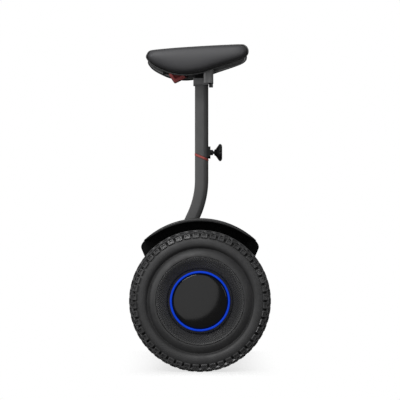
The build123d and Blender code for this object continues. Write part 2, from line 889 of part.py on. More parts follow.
with BuildPart() as head_bracket:
    with BuildSketch(Plane.XY.offset(tube_top)):
        with Locations((-1.9, 0)):
            RectangleRounded(30, 40, 4)
    extrude(amount=collar_top - tube_top)
    with BuildSketch(Plane.XY.offset(collar_top)):
        with Locations((-1.5, 0)):
            RectangleRounded(26, 34, 3)
    extrude(amount=shelf_bottom - collar_top)
    with BuildSketch(Plane.XY.offset(shelf_bottom)):
        with Locations((14, 0)):
            Rectangle(68, 2 * shell_inner)
    extrude(amount=shelf_top - shelf_bottom)
    with BuildSketch(Plane.XY.offset(577.5)):
        with Locations((42, 0)):
            RectangleRounded(64, 28, 4)
    extrude(amount=shelf_bottom - 577.5)
    for y in (-17, 17):
        with BuildSketch(across(y + 1.5)):
            with Locations((lever_hinge_x, lever_hinge_z + 7)):
                Rectangle(8, 14)
            with Locations((lever_hinge_x, lever_hinge_z)):
                Circle(4)
            with Locations((lever_hinge_x, lever_hinge_z)):
                Circle(1.5 + running_gap, mode=Mode.SUBTRACT)
        extrude(amount=3)
    with BuildSketch(Plane(origin=(stem_x, 0, tube_top - 17))):
        stem_outline(inset=stem_wall + running_gap)
    extrude(amount=17)
    with BuildSketch(Plane.XY.offset(shelf_top)):
        with Locations((14, 0)):
            with GridLocations(head_screw_span_x, head_screw_span_y, 2, 2):
                Circle(2.05)
    extrude(amount=-8, mode=Mode.SUBTRACT)
save(head_bracket, "head_bracket")

with BuildPart() as head_clamp:
    with BuildSketch(Plane.XY.offset(558.7)):
        with Locations((-16.6, 0)):
            RectangleRounded(20.2, 48, 7)
        with Locations((-6.9, 0)):
            Rectangle(20.6, 40.2, mode=Mode.SUBTRACT)
    extrude(amount=584.6 - 558.7)
    fillet(head_clamp.faces().sort_by(Axis.Z)[-1].edges().filter_by(GeomType.CIRCLE), radius=1)
    with BuildSketch(Plane.XY.offset(558.7)):
        with Locations((-22, 0)):
            Circle(2.05)
    extrude(amount=20, mode=Mode.SUBTRACT)
save(head_clamp, "head_clamp")

with BuildPart() as head_cover:
    with BuildSketch(Plane.XY.offset(shelf_bottom)):
        with Locations((14, 0)):
            RectangleRounded(80, 2 * shell_inner - 0.4, 8)
    extrude(amount=26)
    fillet(head_cover.faces().sort_by(Axis.Z)[-1].edges(), radius=5)
    with BuildSketch(Plane.XY.offset(shelf_bottom)):
        with Locations((14, 0)):
            RectangleRounded(74, 2 * shell_inner - 6.4, 5)
        with Locations((14, 0)):
            Rectangle(68.4, 2 * shell_inner + 2)
    extrude(amount=shelf_top - shelf_bottom, mode=Mode.SUBTRACT)
    with BuildSketch(Plane.XY.offset(shelf_top)):
        with Locations((14, 0)):
            RectangleRounded(74, 2 * shell_inner - 6.4, 5)
    extrude(amount=14, mode=Mode.SUBTRACT)
    with BuildSketch(Plane.XY.offset(shelf_top)):
        with Locations((14, 0)):
            with GridLocations(head_screw_span_x, head_screw_span_y, 2, 2):
                Circle(5.5)
    extrude(amount=15)
    with BuildSketch(Plane.XY.offset(shelf_top)):
        with Locations((14, 0)):
            with GridLocations(head_screw_span_x, head_screw_span_y, 2, 2):
                Circle(2.05)
    extrude(amount=10, mode=Mode.SUBTRACT)
save(head_cover, "head_cover")

with BuildPart() as head_screws:
    with BuildSketch(Plane.XY.offset(shelf_bottom)):
        with Locations((14, 0)):
            with GridLocations(head_screw_span_x, head_screw_span_y, 2, 2):
                Circle(4)
                RegularPolygon(1.8, 6, mode=Mode.SUBTRACT)
    extrude(amount=-3)
    with BuildSketch(Plane.XY.offset(shelf_bottom)):
        with Locations((14, 0)):
            with GridLocations(head_screw_span_x, head_screw_span_y, 2, 2):
                Circle(2)
    extrude(amount=17)
    with BuildSketch(Plane.XY.offset(558.7)):
        with Locations((-22, 0)):
            Circle(4)
    extrude(amount=-8)
    with BuildSketch(Plane.XY.offset(558.7)):
        with Locations((-22, 0)):
            Circle(2)
    extrude(amount=18)
save(head_screws, "head_screws")


pad_half_length = 102
pad_half_height = 30
pad_centre = (5, 602)


def pad_outline(inset=0.0):
    """The leaf-shaped side view of a knee pad: nearly straight on top, a curved belly."""
    shrink_x = 1 - inset / pad_half_length
    shrink_z = 1 - inset / pad_half_height

    def shrunk(*points):
        return [
            (
                pad_centre[0] + (x - pad_centre[0]) * shrink_x,
                pad_centre[1] + (z - pad_centre[1]) * shrink_z,
            )
            for x, z in points
        ]

    belly = shrunk((106.5, 604), (97, 592), (82.5, 583), (62, 574), (40, 569.8), (20, 569.8),
                   (-3, 573.8), (-25, 581.6), (-64, 594.8), (-89, 605.2), (-96, 618))
    rear = shrunk((-96, 618), (-93.5, 626.5), (-84, 631.3))
    top = shrunk((-84, 631.3), (-55, 630.6), (18, 626.6), (68, 622.6), (99, 617.6), (106.5, 604))
    with BuildLine() as outline:
        Spline(*belly)
        Spline(*rear)
        Spline(*top)
    make_face(outline.edges())


for hand, side in sides:
    with BuildPart() as pad_shell:
        with BuildSketch(across(side * shell_inner)):
            pad_outline()
        extrude(amount=-side * (shell_outer - shell_inner))
    save(pad_shell, f"{hand}_pad_shell")

    with BuildPart() as knee_pad:
        with BuildSketch(across(side * shell_outer)):
            pad_outline(inset=1)
        with BuildSketch(across(side * (pad_outer - 6))):
            pad_outline(inset=3)
        with BuildSketch(across(side * pad_outer)):
            pad_outline(inset=10)
        loft(ruled=True)
    save(knee_pad, f"{hand}_knee_pad")

with BuildPart() as release_lever:
    with BuildSketch(across(lever_half_width)):
        with BuildLine():
            Polyline(
                (lever_hinge_x - 2, lever_hinge_z - 2.6),
                (49, 559.7),
                (52, 560.3),
                (62.5, 576),
                (60, 577.2),
                (56, 577.2),
                (49.5, 566.5),
                (lever_hinge_x + 3, lever_hinge_z + 2),
                close=True,
            )
        make_face()
        with Locations((lever_hinge_x, lever_hinge_z)):
            Circle(3.4)
    extrude(amount=2 * lever_half_width)
    with BuildSketch(across(lever_web / 2)):
        with BuildLine():
            Polyline(
                (lever_hinge_x + 2, lever_hinge_z + 1.6),
                (49, 563),
                (58, 576.5),
                close=True,
            )
        make_face()
    extrude(amount=lever_web)
    with BuildSketch(across(18.4)):
        with Locations((lever_hinge_x, lever_hinge_z)):
            Circle(1.5)
    extrude(amount=36.8)
save(release_lever, "release_lever")
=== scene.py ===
"""Looks of a two-wheeled, self-balancing, knee-steered transporter, built around its CAD frame."""

import json
import logging
import math
from dataclasses import dataclass, field
from enum import Enum
from typing import Callable, Iterable, Sequence

import bmesh
import bpy
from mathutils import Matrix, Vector

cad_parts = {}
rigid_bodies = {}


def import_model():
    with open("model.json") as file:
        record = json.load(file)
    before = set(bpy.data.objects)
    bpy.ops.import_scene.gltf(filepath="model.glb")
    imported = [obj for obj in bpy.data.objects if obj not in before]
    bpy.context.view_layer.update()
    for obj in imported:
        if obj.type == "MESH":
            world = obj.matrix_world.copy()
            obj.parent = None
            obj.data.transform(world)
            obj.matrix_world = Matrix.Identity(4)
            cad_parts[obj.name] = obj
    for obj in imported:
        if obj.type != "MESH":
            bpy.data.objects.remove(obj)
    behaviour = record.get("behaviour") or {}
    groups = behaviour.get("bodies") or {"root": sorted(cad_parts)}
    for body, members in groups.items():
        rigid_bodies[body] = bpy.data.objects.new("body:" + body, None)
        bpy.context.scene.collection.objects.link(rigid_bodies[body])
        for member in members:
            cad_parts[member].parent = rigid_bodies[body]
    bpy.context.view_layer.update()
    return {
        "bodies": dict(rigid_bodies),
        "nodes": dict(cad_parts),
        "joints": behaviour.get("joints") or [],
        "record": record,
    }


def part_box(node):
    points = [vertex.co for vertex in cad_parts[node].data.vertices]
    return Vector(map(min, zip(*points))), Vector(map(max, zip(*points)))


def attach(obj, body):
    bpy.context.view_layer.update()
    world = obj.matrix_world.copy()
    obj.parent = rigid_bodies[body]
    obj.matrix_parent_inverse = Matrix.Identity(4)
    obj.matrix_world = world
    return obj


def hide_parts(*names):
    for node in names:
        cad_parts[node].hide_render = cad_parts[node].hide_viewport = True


log = logging.getLogger("transporter")

Point = tuple[float, float, float]
Flat = tuple[float, float]
Thing = bpy.types.Object
TURN = 2 * math.pi
MM = 0.001
AXLE_HEIGHT = 0.133


class Side(Enum):
    """The rider's left or right, as the sign of Y."""

    LEFT = 1
    RIGHT = -1

    @property
    def hand(self) -> str:
        """The word that starts this side's node names."""
        return self.name.lower()


# ---- node trees ----


class Wire:
    """A node's output, which Python's operators lead through Math nodes."""

    def __init__(self, graph: "Graph", socket: bpy.types.NodeSocket) -> None:
        """Keeps the output and the graph that it belongs to."""
        self.graph = graph
        self.socket = socket

    def maths(self, operation: str, *others: object) -> "Wire":
        """Puts this wire and others through one Math node.

        Args:
            operation: the Math node's operation.
            others: wires or numbers for its further sockets.

        Returns:
            The result's wire.
        """
        return self.graph.node("ShaderNodeMath", {"operation": operation}, dict(enumerate((self, *others))))

    def __add__(self, other: object) -> "Wire":
        return self.maths("ADD", other)

    def __sub__(self, other: object) -> "Wire":
        return self.maths("SUBTRACT", other)

    def __mul__(self, other: object) -> "Wire":
        return self.maths("MULTIPLY", other)

    def __pow__(self, other: object) -> "Wire":
        return self.maths("POWER", other)

    def span(self, low: float, high: float, start: float = 0.0, end: float = 1.0) -> "Wire":
        """Maps low..high of this wire smoothly to start..end."""
        settings = {"interpolation_type": "SMOOTHSTEP"}
        sockets = {0: self, 1: low, 2: high, 3: start, 4: end}
        return self.graph.node("ShaderNodeMapRange", settings, sockets)


class Graph:
    """A node tree being built, whose node method makes every node."""

    def __init__(self, tree: bpy.types.NodeTree) -> None:
        """Keeps the tree."""
        self.tree = tree

    def raw(self, kind: str, settings: dict | None = None, sockets: dict | None = None) -> bpy.types.Node:
        """Makes a node.

        Args:
            kind: the node's type.
            settings: its properties, set first.
            sockets: values or wires for its inputs, by name or index.

        Returns:
            The node.
        """
        made = self.tree.nodes.new(kind)
        for name, value in (settings or {}).items():
            setattr(made, name, value)
        for name, value in (sockets or {}).items():
            if isinstance(value, Wire):
                self.tree.links.new(value.socket, made.inputs[name])
            else:
                made.inputs[name].default_value = value
        return made

    def node(
        self,
        kind: str,
        settings: dict | None = None,
        sockets: dict | None = None,
        output: str | int = 0,
    ) -> Wire:
        """Makes a node and returns the wire of one of its outputs."""
        return Wire(self, self.raw(kind, settings, sockets).outputs[output])

    def vector(self, x: object, y: object, z: object) -> Wire:
        """A vector from three wires or numbers."""
        return self.node("ShaderNodeCombineXYZ", None, {0: x, 1: y, 2: z})

    def mix(self, share: Wire, first: object, second: object) -> Wire:
        """Blends two colours, wires or plain, by a share."""
        return self.node("ShaderNodeMix", {"data_type": "RGBA"}, {0: share, 6: first, 7: second}, output=2)


def fresh_graph(owner: bpy.types.ID) -> Graph:
    """Switches on the nodes of a material or world and empties its tree."""
    owner.use_nodes = True
    owner.node_tree.nodes.clear()
    return Graph(owner.node_tree)


# ---- finishes ----


@dataclass(frozen=True)
class Finish:
    """A moulded, painted or machined surface with grain, mottle and a satin change.

    Attributes:
        name: the material's name.
        colour: its main colour, linear.
        roughness: its middle roughness.
        metallic: 1 for bare metal.
        coat: clear coat weight.
        specular: the shader's specular level.
        grain_size: size of the fine grain in metres.
        grain_depth: height of the fine grain in metres.
        mottle: share by which colour drifts over the surface.
        mottle_size: size of that drift in metres.
    """

    name: str
    colour: tuple[float, float, float]
    roughness: float = 0.5
    metallic: float = 0.0
    coat: float = 0.0
    specular: float = 0.5
    grain_size: float = 0.0006
    grain_depth: float = 0.00003
    mottle: float = 0.12
    mottle_size: float = 0.02

    def coordinates(self, graph: Graph) -> Wire:
        """The coordinates that the grain is laid out in."""
        return graph.node("ShaderNodeTexCoord", output="Object")

    def off_axle(self, graph: Graph) -> Wire:
        """The distance from the line of the axles."""
        split = graph.raw("ShaderNodeSeparateXYZ", None, {0: self.coordinates(graph)})
        x = Wire(graph, split.outputs[0])
        z = Wire(graph, split.outputs[2]) - AXLE_HEIGHT
        return (x * x + z * z) ** 0.5

    def noise(self, graph: Graph, size: float, detail: float = 2.0) -> Wire:
        """Noise between about 0.25 and 0.75, with features of a size in metres."""
        sockets = {"Vector": self.coordinates(graph), "Scale": 1.0 / size, "Detail": detail}
        return graph.node("ShaderNodeTexNoise", None, sockets)

    def tint(self, graph: Graph) -> object:
        """The base colour, which drifts a little lighter and darker."""
        drift = self.noise(graph, self.mottle_size, 3.0).span(0.3, 0.7)
        light = tuple(min(1.0, c * (1 + self.mottle)) for c in self.colour)
        dark = tuple(c * (1 - self.mottle) for c in self.colour)
        return graph.mix(drift, (*dark, 1), (*light, 1))

    def relief(self, graph: Graph) -> Wire:
        """The height of the fine grain, from 0 to 1."""
        return self.noise(graph, self.grain_size)

    def sheen(self, graph: Graph) -> object:
        """The roughness, which drifts with handling."""
        return self.noise(graph, self.mottle_size * 0.6).span(
            0.3, 0.7, self.roughness * 0.88, min(1.0, self.roughness * 1.12)
        )

    def finish_shader(self, graph: Graph, shader: bpy.types.Node) -> None:
        """A place for a finish to set more of the shader's own sockets."""

    def material(self) -> bpy.types.Material:
        """Builds the material, or returns it if it is there already."""
        found = bpy.data.materials.get(self.name)
        if found:
            return found
        made = bpy.data.materials.new(self.name)
        graph = fresh_graph(made)
        grain = {"Strength": 1.0, "Distance": self.grain_depth, "Height": self.relief(graph)}
        bump = graph.node("ShaderNodeBump", None, grain)
        shader = graph.raw(
            "ShaderNodeBsdfPrincipled",
            None,
            {
                "Base Color": self.tint(graph),
                "Roughness": self.sheen(graph),
                "Metallic": self.metallic,
                "Coat Weight": self.coat,
                "Specular IOR Level": self.specular,
                "Normal": bump,
            },
        )
        self.finish_shader(graph, shader)
        graph.raw("ShaderNodeOutputMaterial", None, {"Surface": Wire(graph, shader.outputs[0])})
        made.diffuse_color = (*self.colour, 1.0)
        return made


@dataclass(frozen=True)
class WheelFinish(Finish):
    """A finish with fine lines round the wheel and painted shade that changes at a radius.

    Attributes:
        line_pitch: the distance between two lines.
        line_depth: the lines' height as a share of the grain's.
        shade_start: the radius where the colour changes for the painted shade.
        shade_blend: how far the change takes.
        shade_change: how many times as light the colour is beyond that radius.
    """

    line_pitch: float = 0.0011
    line_depth: float = 0.12
    shade_start: float = 0.2
    shade_blend: float = 0.003
    shade_change: float = 1.0

    def tint(self, graph: Graph) -> object:
        """The base colour, changed beyond a radius for the painted shade."""
        beyond = self.off_axle(graph).span(self.shade_start, self.shade_start + self.shade_blend)
        shaded = tuple(c * self.shade_change for c in self.colour)
        return graph.mix(beyond, super().tint(graph), (*shaded, 1))

    def relief(self, graph: Graph) -> Wire:
        """The lines over a fine grain."""
        lines = (self.off_axle(graph) * (TURN / self.line_pitch)).maths("SINE")
        return self.noise(graph, self.grain_size) + lines * self.line_depth


@dataclass(frozen=True)
class PadSkin(Finish):
    """Soft grained pad skin: small rounded cells with creases between them."""

    def relief(self, graph: Graph) -> Wire:
        """Leather-like cells."""
        sockets = {"Vector": self.coordinates(graph), "Scale": 1.0 / self.grain_size}
        cells = graph.node("ShaderNodeTexVoronoi", {"feature": "DISTANCE_TO_EDGE"}, sockets)
        return cells.span(0.0, 0.25) * 0.8 + self.noise(graph, self.grain_size * 3) * 0.4


@dataclass(frozen=True)
class BrushedMetal(Finish):
    """Metal with fine lines along X, as a machined or drawn face has."""

    def coordinates(self, graph: Graph) -> Wire:
        """Object coordinates squeezed along X, so that the grain becomes lines."""
        place = graph.node("ShaderNodeTexCoord", output="Object")
        return graph.node("ShaderNodeMapping", None, {"Vector": place, "Scale": (0.08, 1.0, 1.0)})


@dataclass(frozen=True)
class GlowRing(Finish):
    """A lit diffuser: bright along its crown and darker down its sides."""

    glow: float = 0.22
    crown_radius: float = 0.0545
    half_width: float = 0.003
    crown_colour: tuple[float, float, float] = (0.006, 0.09, 1.0)
    side_colour: tuple[float, float, float] = (0.0, 0.001, 0.05)

    def finish_shader(self, graph: Graph, shader: bpy.types.Node) -> None:
        """Feeds the emission colour from the distance to the ring's middle line."""
        away = (self.off_axle(graph) - self.crown_radius).maths("ABSOLUTE")
        crown = away.span(self.half_width * 0.35, self.half_width, 1.0, 0.0)
        colour = graph.mix(crown, (*self.side_colour, 1), (*self.crown_colour, 1))
        graph.tree.links.new(colour.socket, shader.inputs["Emission Color"])
        shader.inputs["Emission Strength"].default_value = self.glow


class Finishes:
    """Every finish on the object."""

    tread = WheelFinish("tread_rubber", (0.060, 0.060, 0.061), 0.26, grain_size=0.0009,
                        grain_depth=0.00006, mottle=0.25, mottle_size=0.015)
    # Sidewall rubber with painted shade: beyond a radius, the crown between the tread blocks is ten times
    # darker.
    sidewall = WheelFinish("sidewall_rubber", (0.036, 0.036, 0.037), 0.55, grain_size=0.0007,
                           grain_depth=0.00004, mottle=0.1, shade_start=0.1168, shade_change=0.1)
    # The knurled dish is painted darker near the lit ring as shade in its recess; beyond a radius it takes
    # its own colour, six times lighter.
    dish = WheelFinish("knurled_dish", (0.007, 0.007, 0.0071), 0.45, grain_size=0.0005,
                       grain_depth=0.00002, specular=0.4, shade_start=0.0610, shade_change=6.0)
    cap = Finish("hub_cap_gloss", (0.010, 0.010, 0.0102), 0.1, grain_size=0.0008,
                 grain_depth=0.000001, mottle=0.04, specular=0.3)
    glow = GlowRing("blue_glow", (0.002, 0.035, 0.5), 0.5, specular=0.1)
    fender = Finish("fender_satin", (0.021, 0.021, 0.0214), 0.42)
    # The fender wall is black plastic, made near-black with little specular as painted shade for the
    # shadowed inside of the arch.
    wall = Finish("fender_wall_black", (0.003, 0.003, 0.0031), 0.6, specular=0.08)
    casing = Finish("casing_black", (0.017, 0.017, 0.018), 0.5, grain_size=0.0007,
                    grain_depth=0.00005)
    deck = Finish("deck_grey", (0.03, 0.03, 0.031), 0.55, grain_size=0.0009, grain_depth=0.00008)
    mat = Finish("mat_rubber", (0.018, 0.018, 0.0185), 0.7, grain_size=0.001, grain_depth=0.00006)
    stem = Finish("stem_powder_coat", (0.084, 0.084, 0.085), 0.46, grain_size=0.0007,
                  grain_depth=0.00004, mottle=0.05)
    band = Finish("band_red", (0.75, 0.09, 0.075), 0.38, grain_depth=0.00002)
    lever = Finish("lever_red", (0.6, 0.19, 0.2), 0.4, grain_size=0.0007)
    knob = Finish("knob_black", (0.005, 0.005, 0.0052), 0.4, specular=0.25)
    clamp = Finish("clamp_grey", (0.12, 0.12, 0.122), 0.5, grain_size=0.0007)
    # The head clamp's grey, made lighter as painted light where the knee pads shade it.
    block = Finish("block_light_grey", (0.25, 0.25, 0.252), 0.45, grain_size=0.0007)
    collar = Finish("collar_grey", (0.15, 0.15, 0.152), 0.5)
    # The head bracket is black, made near-black with little specular as painted shade for the neck under
    # the pads.
    bracket = Finish("bracket_black", (0.005, 0.005, 0.0052), 0.6, specular=0.1)
    # The shells' black plastic, made darker as painted shade for their shadowed inner faces; the head cover
    # takes it too.
    shell = Finish("pad_shell_black", (0.012, 0.012, 0.0125), 0.42)
    # Painted highlight: the shells' beads and seams are light grey for the light along their edges.
    rim = Finish("shell_rim_satin", (0.09, 0.09, 0.091), 0.35)
    skin = PadSkin("pad_skin", (0.043, 0.043, 0.044), 0.5, grain_size=0.0016, grain_depth=0.00007,
                   mottle=0.08, mottle_size=0.03)
    alloy = BrushedMetal("cast_alloy", (0.33, 0.33, 0.34), 0.4, metallic=1.0)
    steel = BrushedMetal("turned_steel", (0.5, 0.5, 0.51), 0.28, metallic=1.0)
    dark_steel = BrushedMetal("black_oxide", (0.05, 0.05, 0.052), 0.35, metallic=0.8)
    bronze = BrushedMetal("bush_bronze", (0.5, 0.32, 0.14), 0.35, metallic=1.0)
    copper = Finish("winding_copper", (0.42, 0.16, 0.06), 0.35, metallic=0.9, grain_size=0.0012,
                    grain_depth=0.0002)
    sleeve = Finish("battery_sleeve", (0.02, 0.06, 0.14), 0.3, grain_size=0.004)
    board = Finish("circuit_board", (0.02, 0.1, 0.05), 0.35, grain_size=0.002)
    lamp = Finish("lamp_lens", (0.75, 0.78, 0.8), 0.12, coat=0.6, grain_size=0.003,
                  grain_depth=0.0001, mottle=0.03)
    tail_lamp = Finish("tail_lens", (0.32, 0.012, 0.012), 0.14, coat=0.6, grain_size=0.003,
                       grain_depth=0.0001)


# ---- mesh helpers ----


def linked(name: str, data: bpy.types.ID) -> Thing:
    """Makes an object from its data and links it into the scene."""
    made = bpy.data.objects.new(name, data)
    bpy.context.scene.collection.objects.link(made)
    return made


def piece(name: str, vertices: Sequence[Point], faces: Iterable[Sequence[int]]) -> Thing:
    """Makes a closed mesh object at the origin, with merged doubles and faces outwards."""
    mesh = bpy.data.meshes.new(name)
    mesh.from_pydata([tuple(v) for v in vertices], [], [tuple(f) for f in faces])
    tidy(mesh)
    return linked(name, mesh)


def tidy(mesh: bpy.types.Mesh, merge: float = 0.000002) -> None:
    """Merges doubles, drops empty faces and turns every face outwards."""
    work = bmesh.new()
    work.from_mesh(mesh)
    bmesh.ops.remove_doubles(work, verts=work.verts, dist=merge)
    bmesh.ops.dissolve_degenerate(work, dist=merge, edges=work.edges)
    bmesh.ops.recalc_face_normals(work, faces=work.faces)
    work.to_mesh(mesh)
    work.free()


def settle(made: Thing) -> Thing:
    """Turns an object's modifiers into plain mesh."""
    bpy.context.view_layer.update()
    graph = bpy.context.evaluated_depsgraph_get()
    mesh = bpy.data.meshes.new_from_object(made.evaluated_get(graph))
    made.modifiers.clear()
    made.data = mesh
    return made


def shade(made: Thing, angle: float = 38.0) -> Thing:
    """Shades smooth, apart from edges sharper than an angle in degrees."""
    made.data.shade_smooth()
    made.data.set_sharp_from_angle(angle=math.radians(angle))
    return made


def modify(made: Thing, kind: str, **settings: object) -> Thing:
    """Runs an object through one modifier and turns the result into plain mesh."""
    modifier = made.modifiers.new(kind.lower(), kind)
    for name, value in settings.items():
        setattr(modifier, name, value)
    return settle(made)


def ease_edges(made: Thing, width: float, segments: int = 3, angle: float = 30.0) -> Thing:
    """Rounds an object's sharp edges and turns the result into plain mesh."""
    limit = math.radians(angle)
    modify(made, "BEVEL", width=width, segments=segments, limit_method="ANGLE", angle_limit=limit)
    return shade(made)


def carve(made: Thing, cutter: Thing) -> Thing:
    """Cuts one closed piece out of another and drops the cutter."""
    modify(made, "BOOLEAN", operation="DIFFERENCE", solver="EXACT", object=cutter)
    bpy.data.objects.remove(cutter)
    return made


def skin_faces(count: int, rings: int, start: int = 0, looped: bool = False) -> list[list[int]]:
    """The faces of a skin over rings of points.

    Args:
        count: how many points each ring has.
        rings: how many rings there are.
        start: the first point's number.
        looped: whether the last ring joins the first; otherwise both ends are capped.

    Returns:
        Each face as the numbers of its points.
    """
    faces = []
    for i in range(rings if looped else rings - 1):
        a = start + i * count
        b = start + (i + 1) % rings * count
        faces += [[a + j, a + (j + 1) % count, b + (j + 1) % count, b + j] for j in range(count)]
    if not looped:
        end = start + (rings - 1) * count
        faces += [[start + j for j in reversed(range(count))], [end + j for j in range(count)]]
    return faces


def loft(name: str, rings: Sequence[Sequence[Point]], looped: bool = False) -> Thing:
    """Joins rings of equal point counts into one piece, capped at both ends unless looped."""
    vertices = [point for ring in rings for point in ring]
    return piece(name, vertices, skin_faces(len(rings[0]), len(rings), looped=looped))


def mm(*points: Flat) -> list[Flat]:
    """Points given in millimetres, in metres."""
    return [(a * MM, b * MM) for a, b in points]


def smooth_ring(points: Sequence[Flat], steps: int = 8) -> list[Flat]:
    """A closed Catmull-Rom curve through a few outline points."""
    count = len(points)
    made = []
    for i in range(count):
        a, b, c, d = (Vector(points[(i + k) % count]) for k in (-1, 0, 1, 2))
        for s in range(steps):
            t = s / steps
            p = (
                b * 2
                + (c - a) * t
                + (a * 2 - b * 5 + c * 4 - d) * t**2
                + (b * 3 - a - c * 3 + d) * t**3
            ) / 2
            made.append((p.x, p.y))
    return made


def bent(start: Vector, corner: Vector, end: Vector, shares: Iterable[float]) -> list[Flat]:
    """Points on the small curve that rounds a corner, at shares of its length."""
    return [tuple(start.lerp(corner, t).lerp(corner.lerp(end, t), t)) for t in shares]


def rounded_corners(points: Sequence[Flat], radius: float, steps: int = 4) -> list[Flat]:
    """A closed polygon with each corner replaced by a small curve of about a radius."""
    made = []
    count = len(points)
    for i, corner in enumerate(points):
        here = Vector(corner)
        before = (Vector(points[i - 1]) - here)
        after = (Vector(points[(i + 1) % count]) - here)
        reach = min(radius, before.length * 0.45, after.length * 0.45)
        start = here + before.normalized() * reach
        end = here + after.normalized() * reach
        made += bent(start, here, end, [s / steps for s in range(steps + 1)])
    return made


def rounded_box(half_length: float, half_width: float, radius: float, steps: int = 4) -> list[Flat]:
    """A rectangle about the origin with rounded corners."""
    a, b = half_length, half_width
    return rounded_corners([(a, b), (-a, b), (-a, -b), (a, -b)], radius, steps)


def circle(radius: float, steps: int) -> list[Flat]:
    """Points round a circle about the origin."""
    turns = [TURN * i / steps for i in range(steps)]
    return [(radius * math.cos(turn), radius * math.sin(turn)) for turn in turns]


def swing(place: Point, end: float, radius: float, steps: int) -> list[Point]:
    """Places (x, z, turn) along an arc, from one place round to an end turn."""
    x, z, start = place
    turns = [start + (end - start) * i / steps for i in range(steps + 1)]
    x -= radius * math.cos(start)
    z -= radius * math.sin(start)
    return [(x + radius * math.cos(turn), z + radius * math.sin(turn), turn) for turn in turns]


def prism(name: str, outline: Sequence[Flat], low: float, high: float, place: Callable) -> Thing:
    """Extrudes a closed outline between two depths; place(a, b, depth) gives each point."""
    rings = [[place(a, b, depth) for a, b in outline] for depth in (low, high)]
    return loft(name, rings)


def dressed(made: Thing, finish: Finish, body: str, slot: str, *nodes: str) -> None:
    """Gives a finished piece its material and its body, and hides the CAD nodes it stands for.

    Args:
        made: the piece.
        finish: its finish.
        body: the CAD body that it rides on.
        slot: the record's material slot; not used.
        nodes: the CAD nodes that it replaces.
    """
    made.data.materials.clear()
    made.data.materials.append(finish.material())
    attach(made, body)
    if nodes:
        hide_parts(*nodes)
    log.info("made %s", made.name)


class RingTree:
    """A Geometry Nodes tree that sets rings of small shapes round an axle line."""

    def __init__(self, name: str, centre: Point, side: Side) -> None:
        """Starts the tree.

        Args:
            name: the tree's name.
            centre: the wheel's middle.
            side: which way the wheel faces.
        """
        self.tree = bpy.data.node_groups.new(name, "GeometryNodeTree")
        self.graph = Graph(self.tree)
        self.centre = centre
        self.side = side
        self.branches: list[Wire] = []
        self.values: dict[str, object] = {}
        face = self.tree.interface
        face.new_socket("Geometry", in_out="INPUT", socket_type="NodeSocketGeometry")
        face.new_socket("Geometry", in_out="OUTPUT", socket_type="NodeSocketGeometry")
        self.inputs = self.graph.raw("NodeGroupInput")
        self.seeds: list[Thing] = []

    def enter(self, name: str, kind: str, value: object) -> Wire:
        """Adds a named input of a socket kind and returns its wire."""
        socket = self.tree.interface.new_socket(name, in_out="INPUT", socket_type=kind)
        self.values[socket.identifier] = value
        return Wire(self.graph, self.inputs.outputs[name])

    def shape(self, seed: Thing) -> Wire:
        """Takes in the geometry of a seed, which grow removes."""
        self.seeds.append(seed)
        source = self.enter("Shape", "NodeSocketObject", seed)
        return self.graph.node("GeometryNodeObjectInfo", None, {"Object": source}, output="Geometry")

    def ring(
        self, shape: Wire, count: int, radius: float, outward: float, tilt: float, phase: float, size: Point
    ) -> None:
        """Sets one ring of shapes.

        Args:
            shape: the geometry of one shape, with its base at its origin and Z up.
            count: how many stand in the ring.
            radius: the base's distance from the axle line.
            outward: the base's distance outwards from the wheel's middle.
            tilt: how far the shapes lean from the radius towards the outside, in radians.
            phase: the share of a pitch that the ring is turned by.
            size: the scale of one shape.
        """
        graph = self.graph
        x, y, z = self.centre
        points = graph.node("GeometryNodeMeshLine", {"mode": "OFFSET"}, {"Count": count})
        index = graph.node("GeometryNodeInputIndex")
        angle = (index + phase) * (TURN / count)
        cosine, sine = angle.maths("COSINE"), angle.maths("SINE")
        place = graph.vector(cosine * radius + x, y + self.side.value * outward, sine * radius + z)
        normal = graph.vector(
            cosine * math.cos(tilt), self.side.value * math.sin(tilt), sine * math.cos(tilt)
        )
        along = graph.vector(sine * -1.0, 0.0, cosine)
        stood = graph.node("FunctionNodeAlignRotationToVector", {"axis": "Z"}, {"Vector": normal})
        pivot = {"axis": "X", "pivot_axis": "Z"}
        turned = graph.node(
            "FunctionNodeAlignRotationToVector", pivot, {"Rotation": stood, "Vector": along}
        )
        moved = graph.node("GeometryNodeSetPosition", None, {"Geometry": points, "Position": place})
        self.stand(shape, moved, Rotation=turned, Scale=size)

    def row(self, shape: Wire, count: int, start: Point, step: Point) -> None:
        """Sets shapes in a straight row from a start, a step apart."""
        line = {"Count": count, "Start Location": start, "Offset": step}
        self.stand(shape, self.graph.node("GeometryNodeMeshLine", {"mode": "OFFSET"}, line))

    def stand(self, shape: Wire, points: Wire, **more: object) -> None:
        """Stands a shape on every point, as one more branch of the tree."""
        sockets = {"Points": points, "Instance": shape, **more}
        self.branches.append(self.graph.node("GeometryNodeInstanceOnPoints", None, sockets))

    def grow(self, name: str, finish: Finish) -> Thing:
        """Joins the rings into a plain mesh piece with a finish."""
        graph = self.graph
        joined = graph.raw("GeometryNodeJoinGeometry")
        for branch in self.branches:
            self.tree.links.new(branch.socket, joined.inputs[0])
        paint = self.enter("Finish", "NodeSocketMaterial", finish.material())
        solid = graph.node("GeometryNodeRealizeInstances", None, {0: Wire(graph, joined.outputs[0])})
        painted = graph.node("GeometryNodeSetMaterial", None, {"Geometry": solid, "Material": paint})
        graph.raw("NodeGroupOutput", None, {0: painted})
        made = linked(name, bpy.data.meshes.new(name))
        grower = made.modifiers.new("grow", "NODES")
        grower.node_group = self.tree
        for identifier, value in self.values.items():
            grower[identifier] = value
        settle(made)
        for seed in self.seeds:
            bpy.data.objects.remove(seed)
        return made


# ---- wheel ----


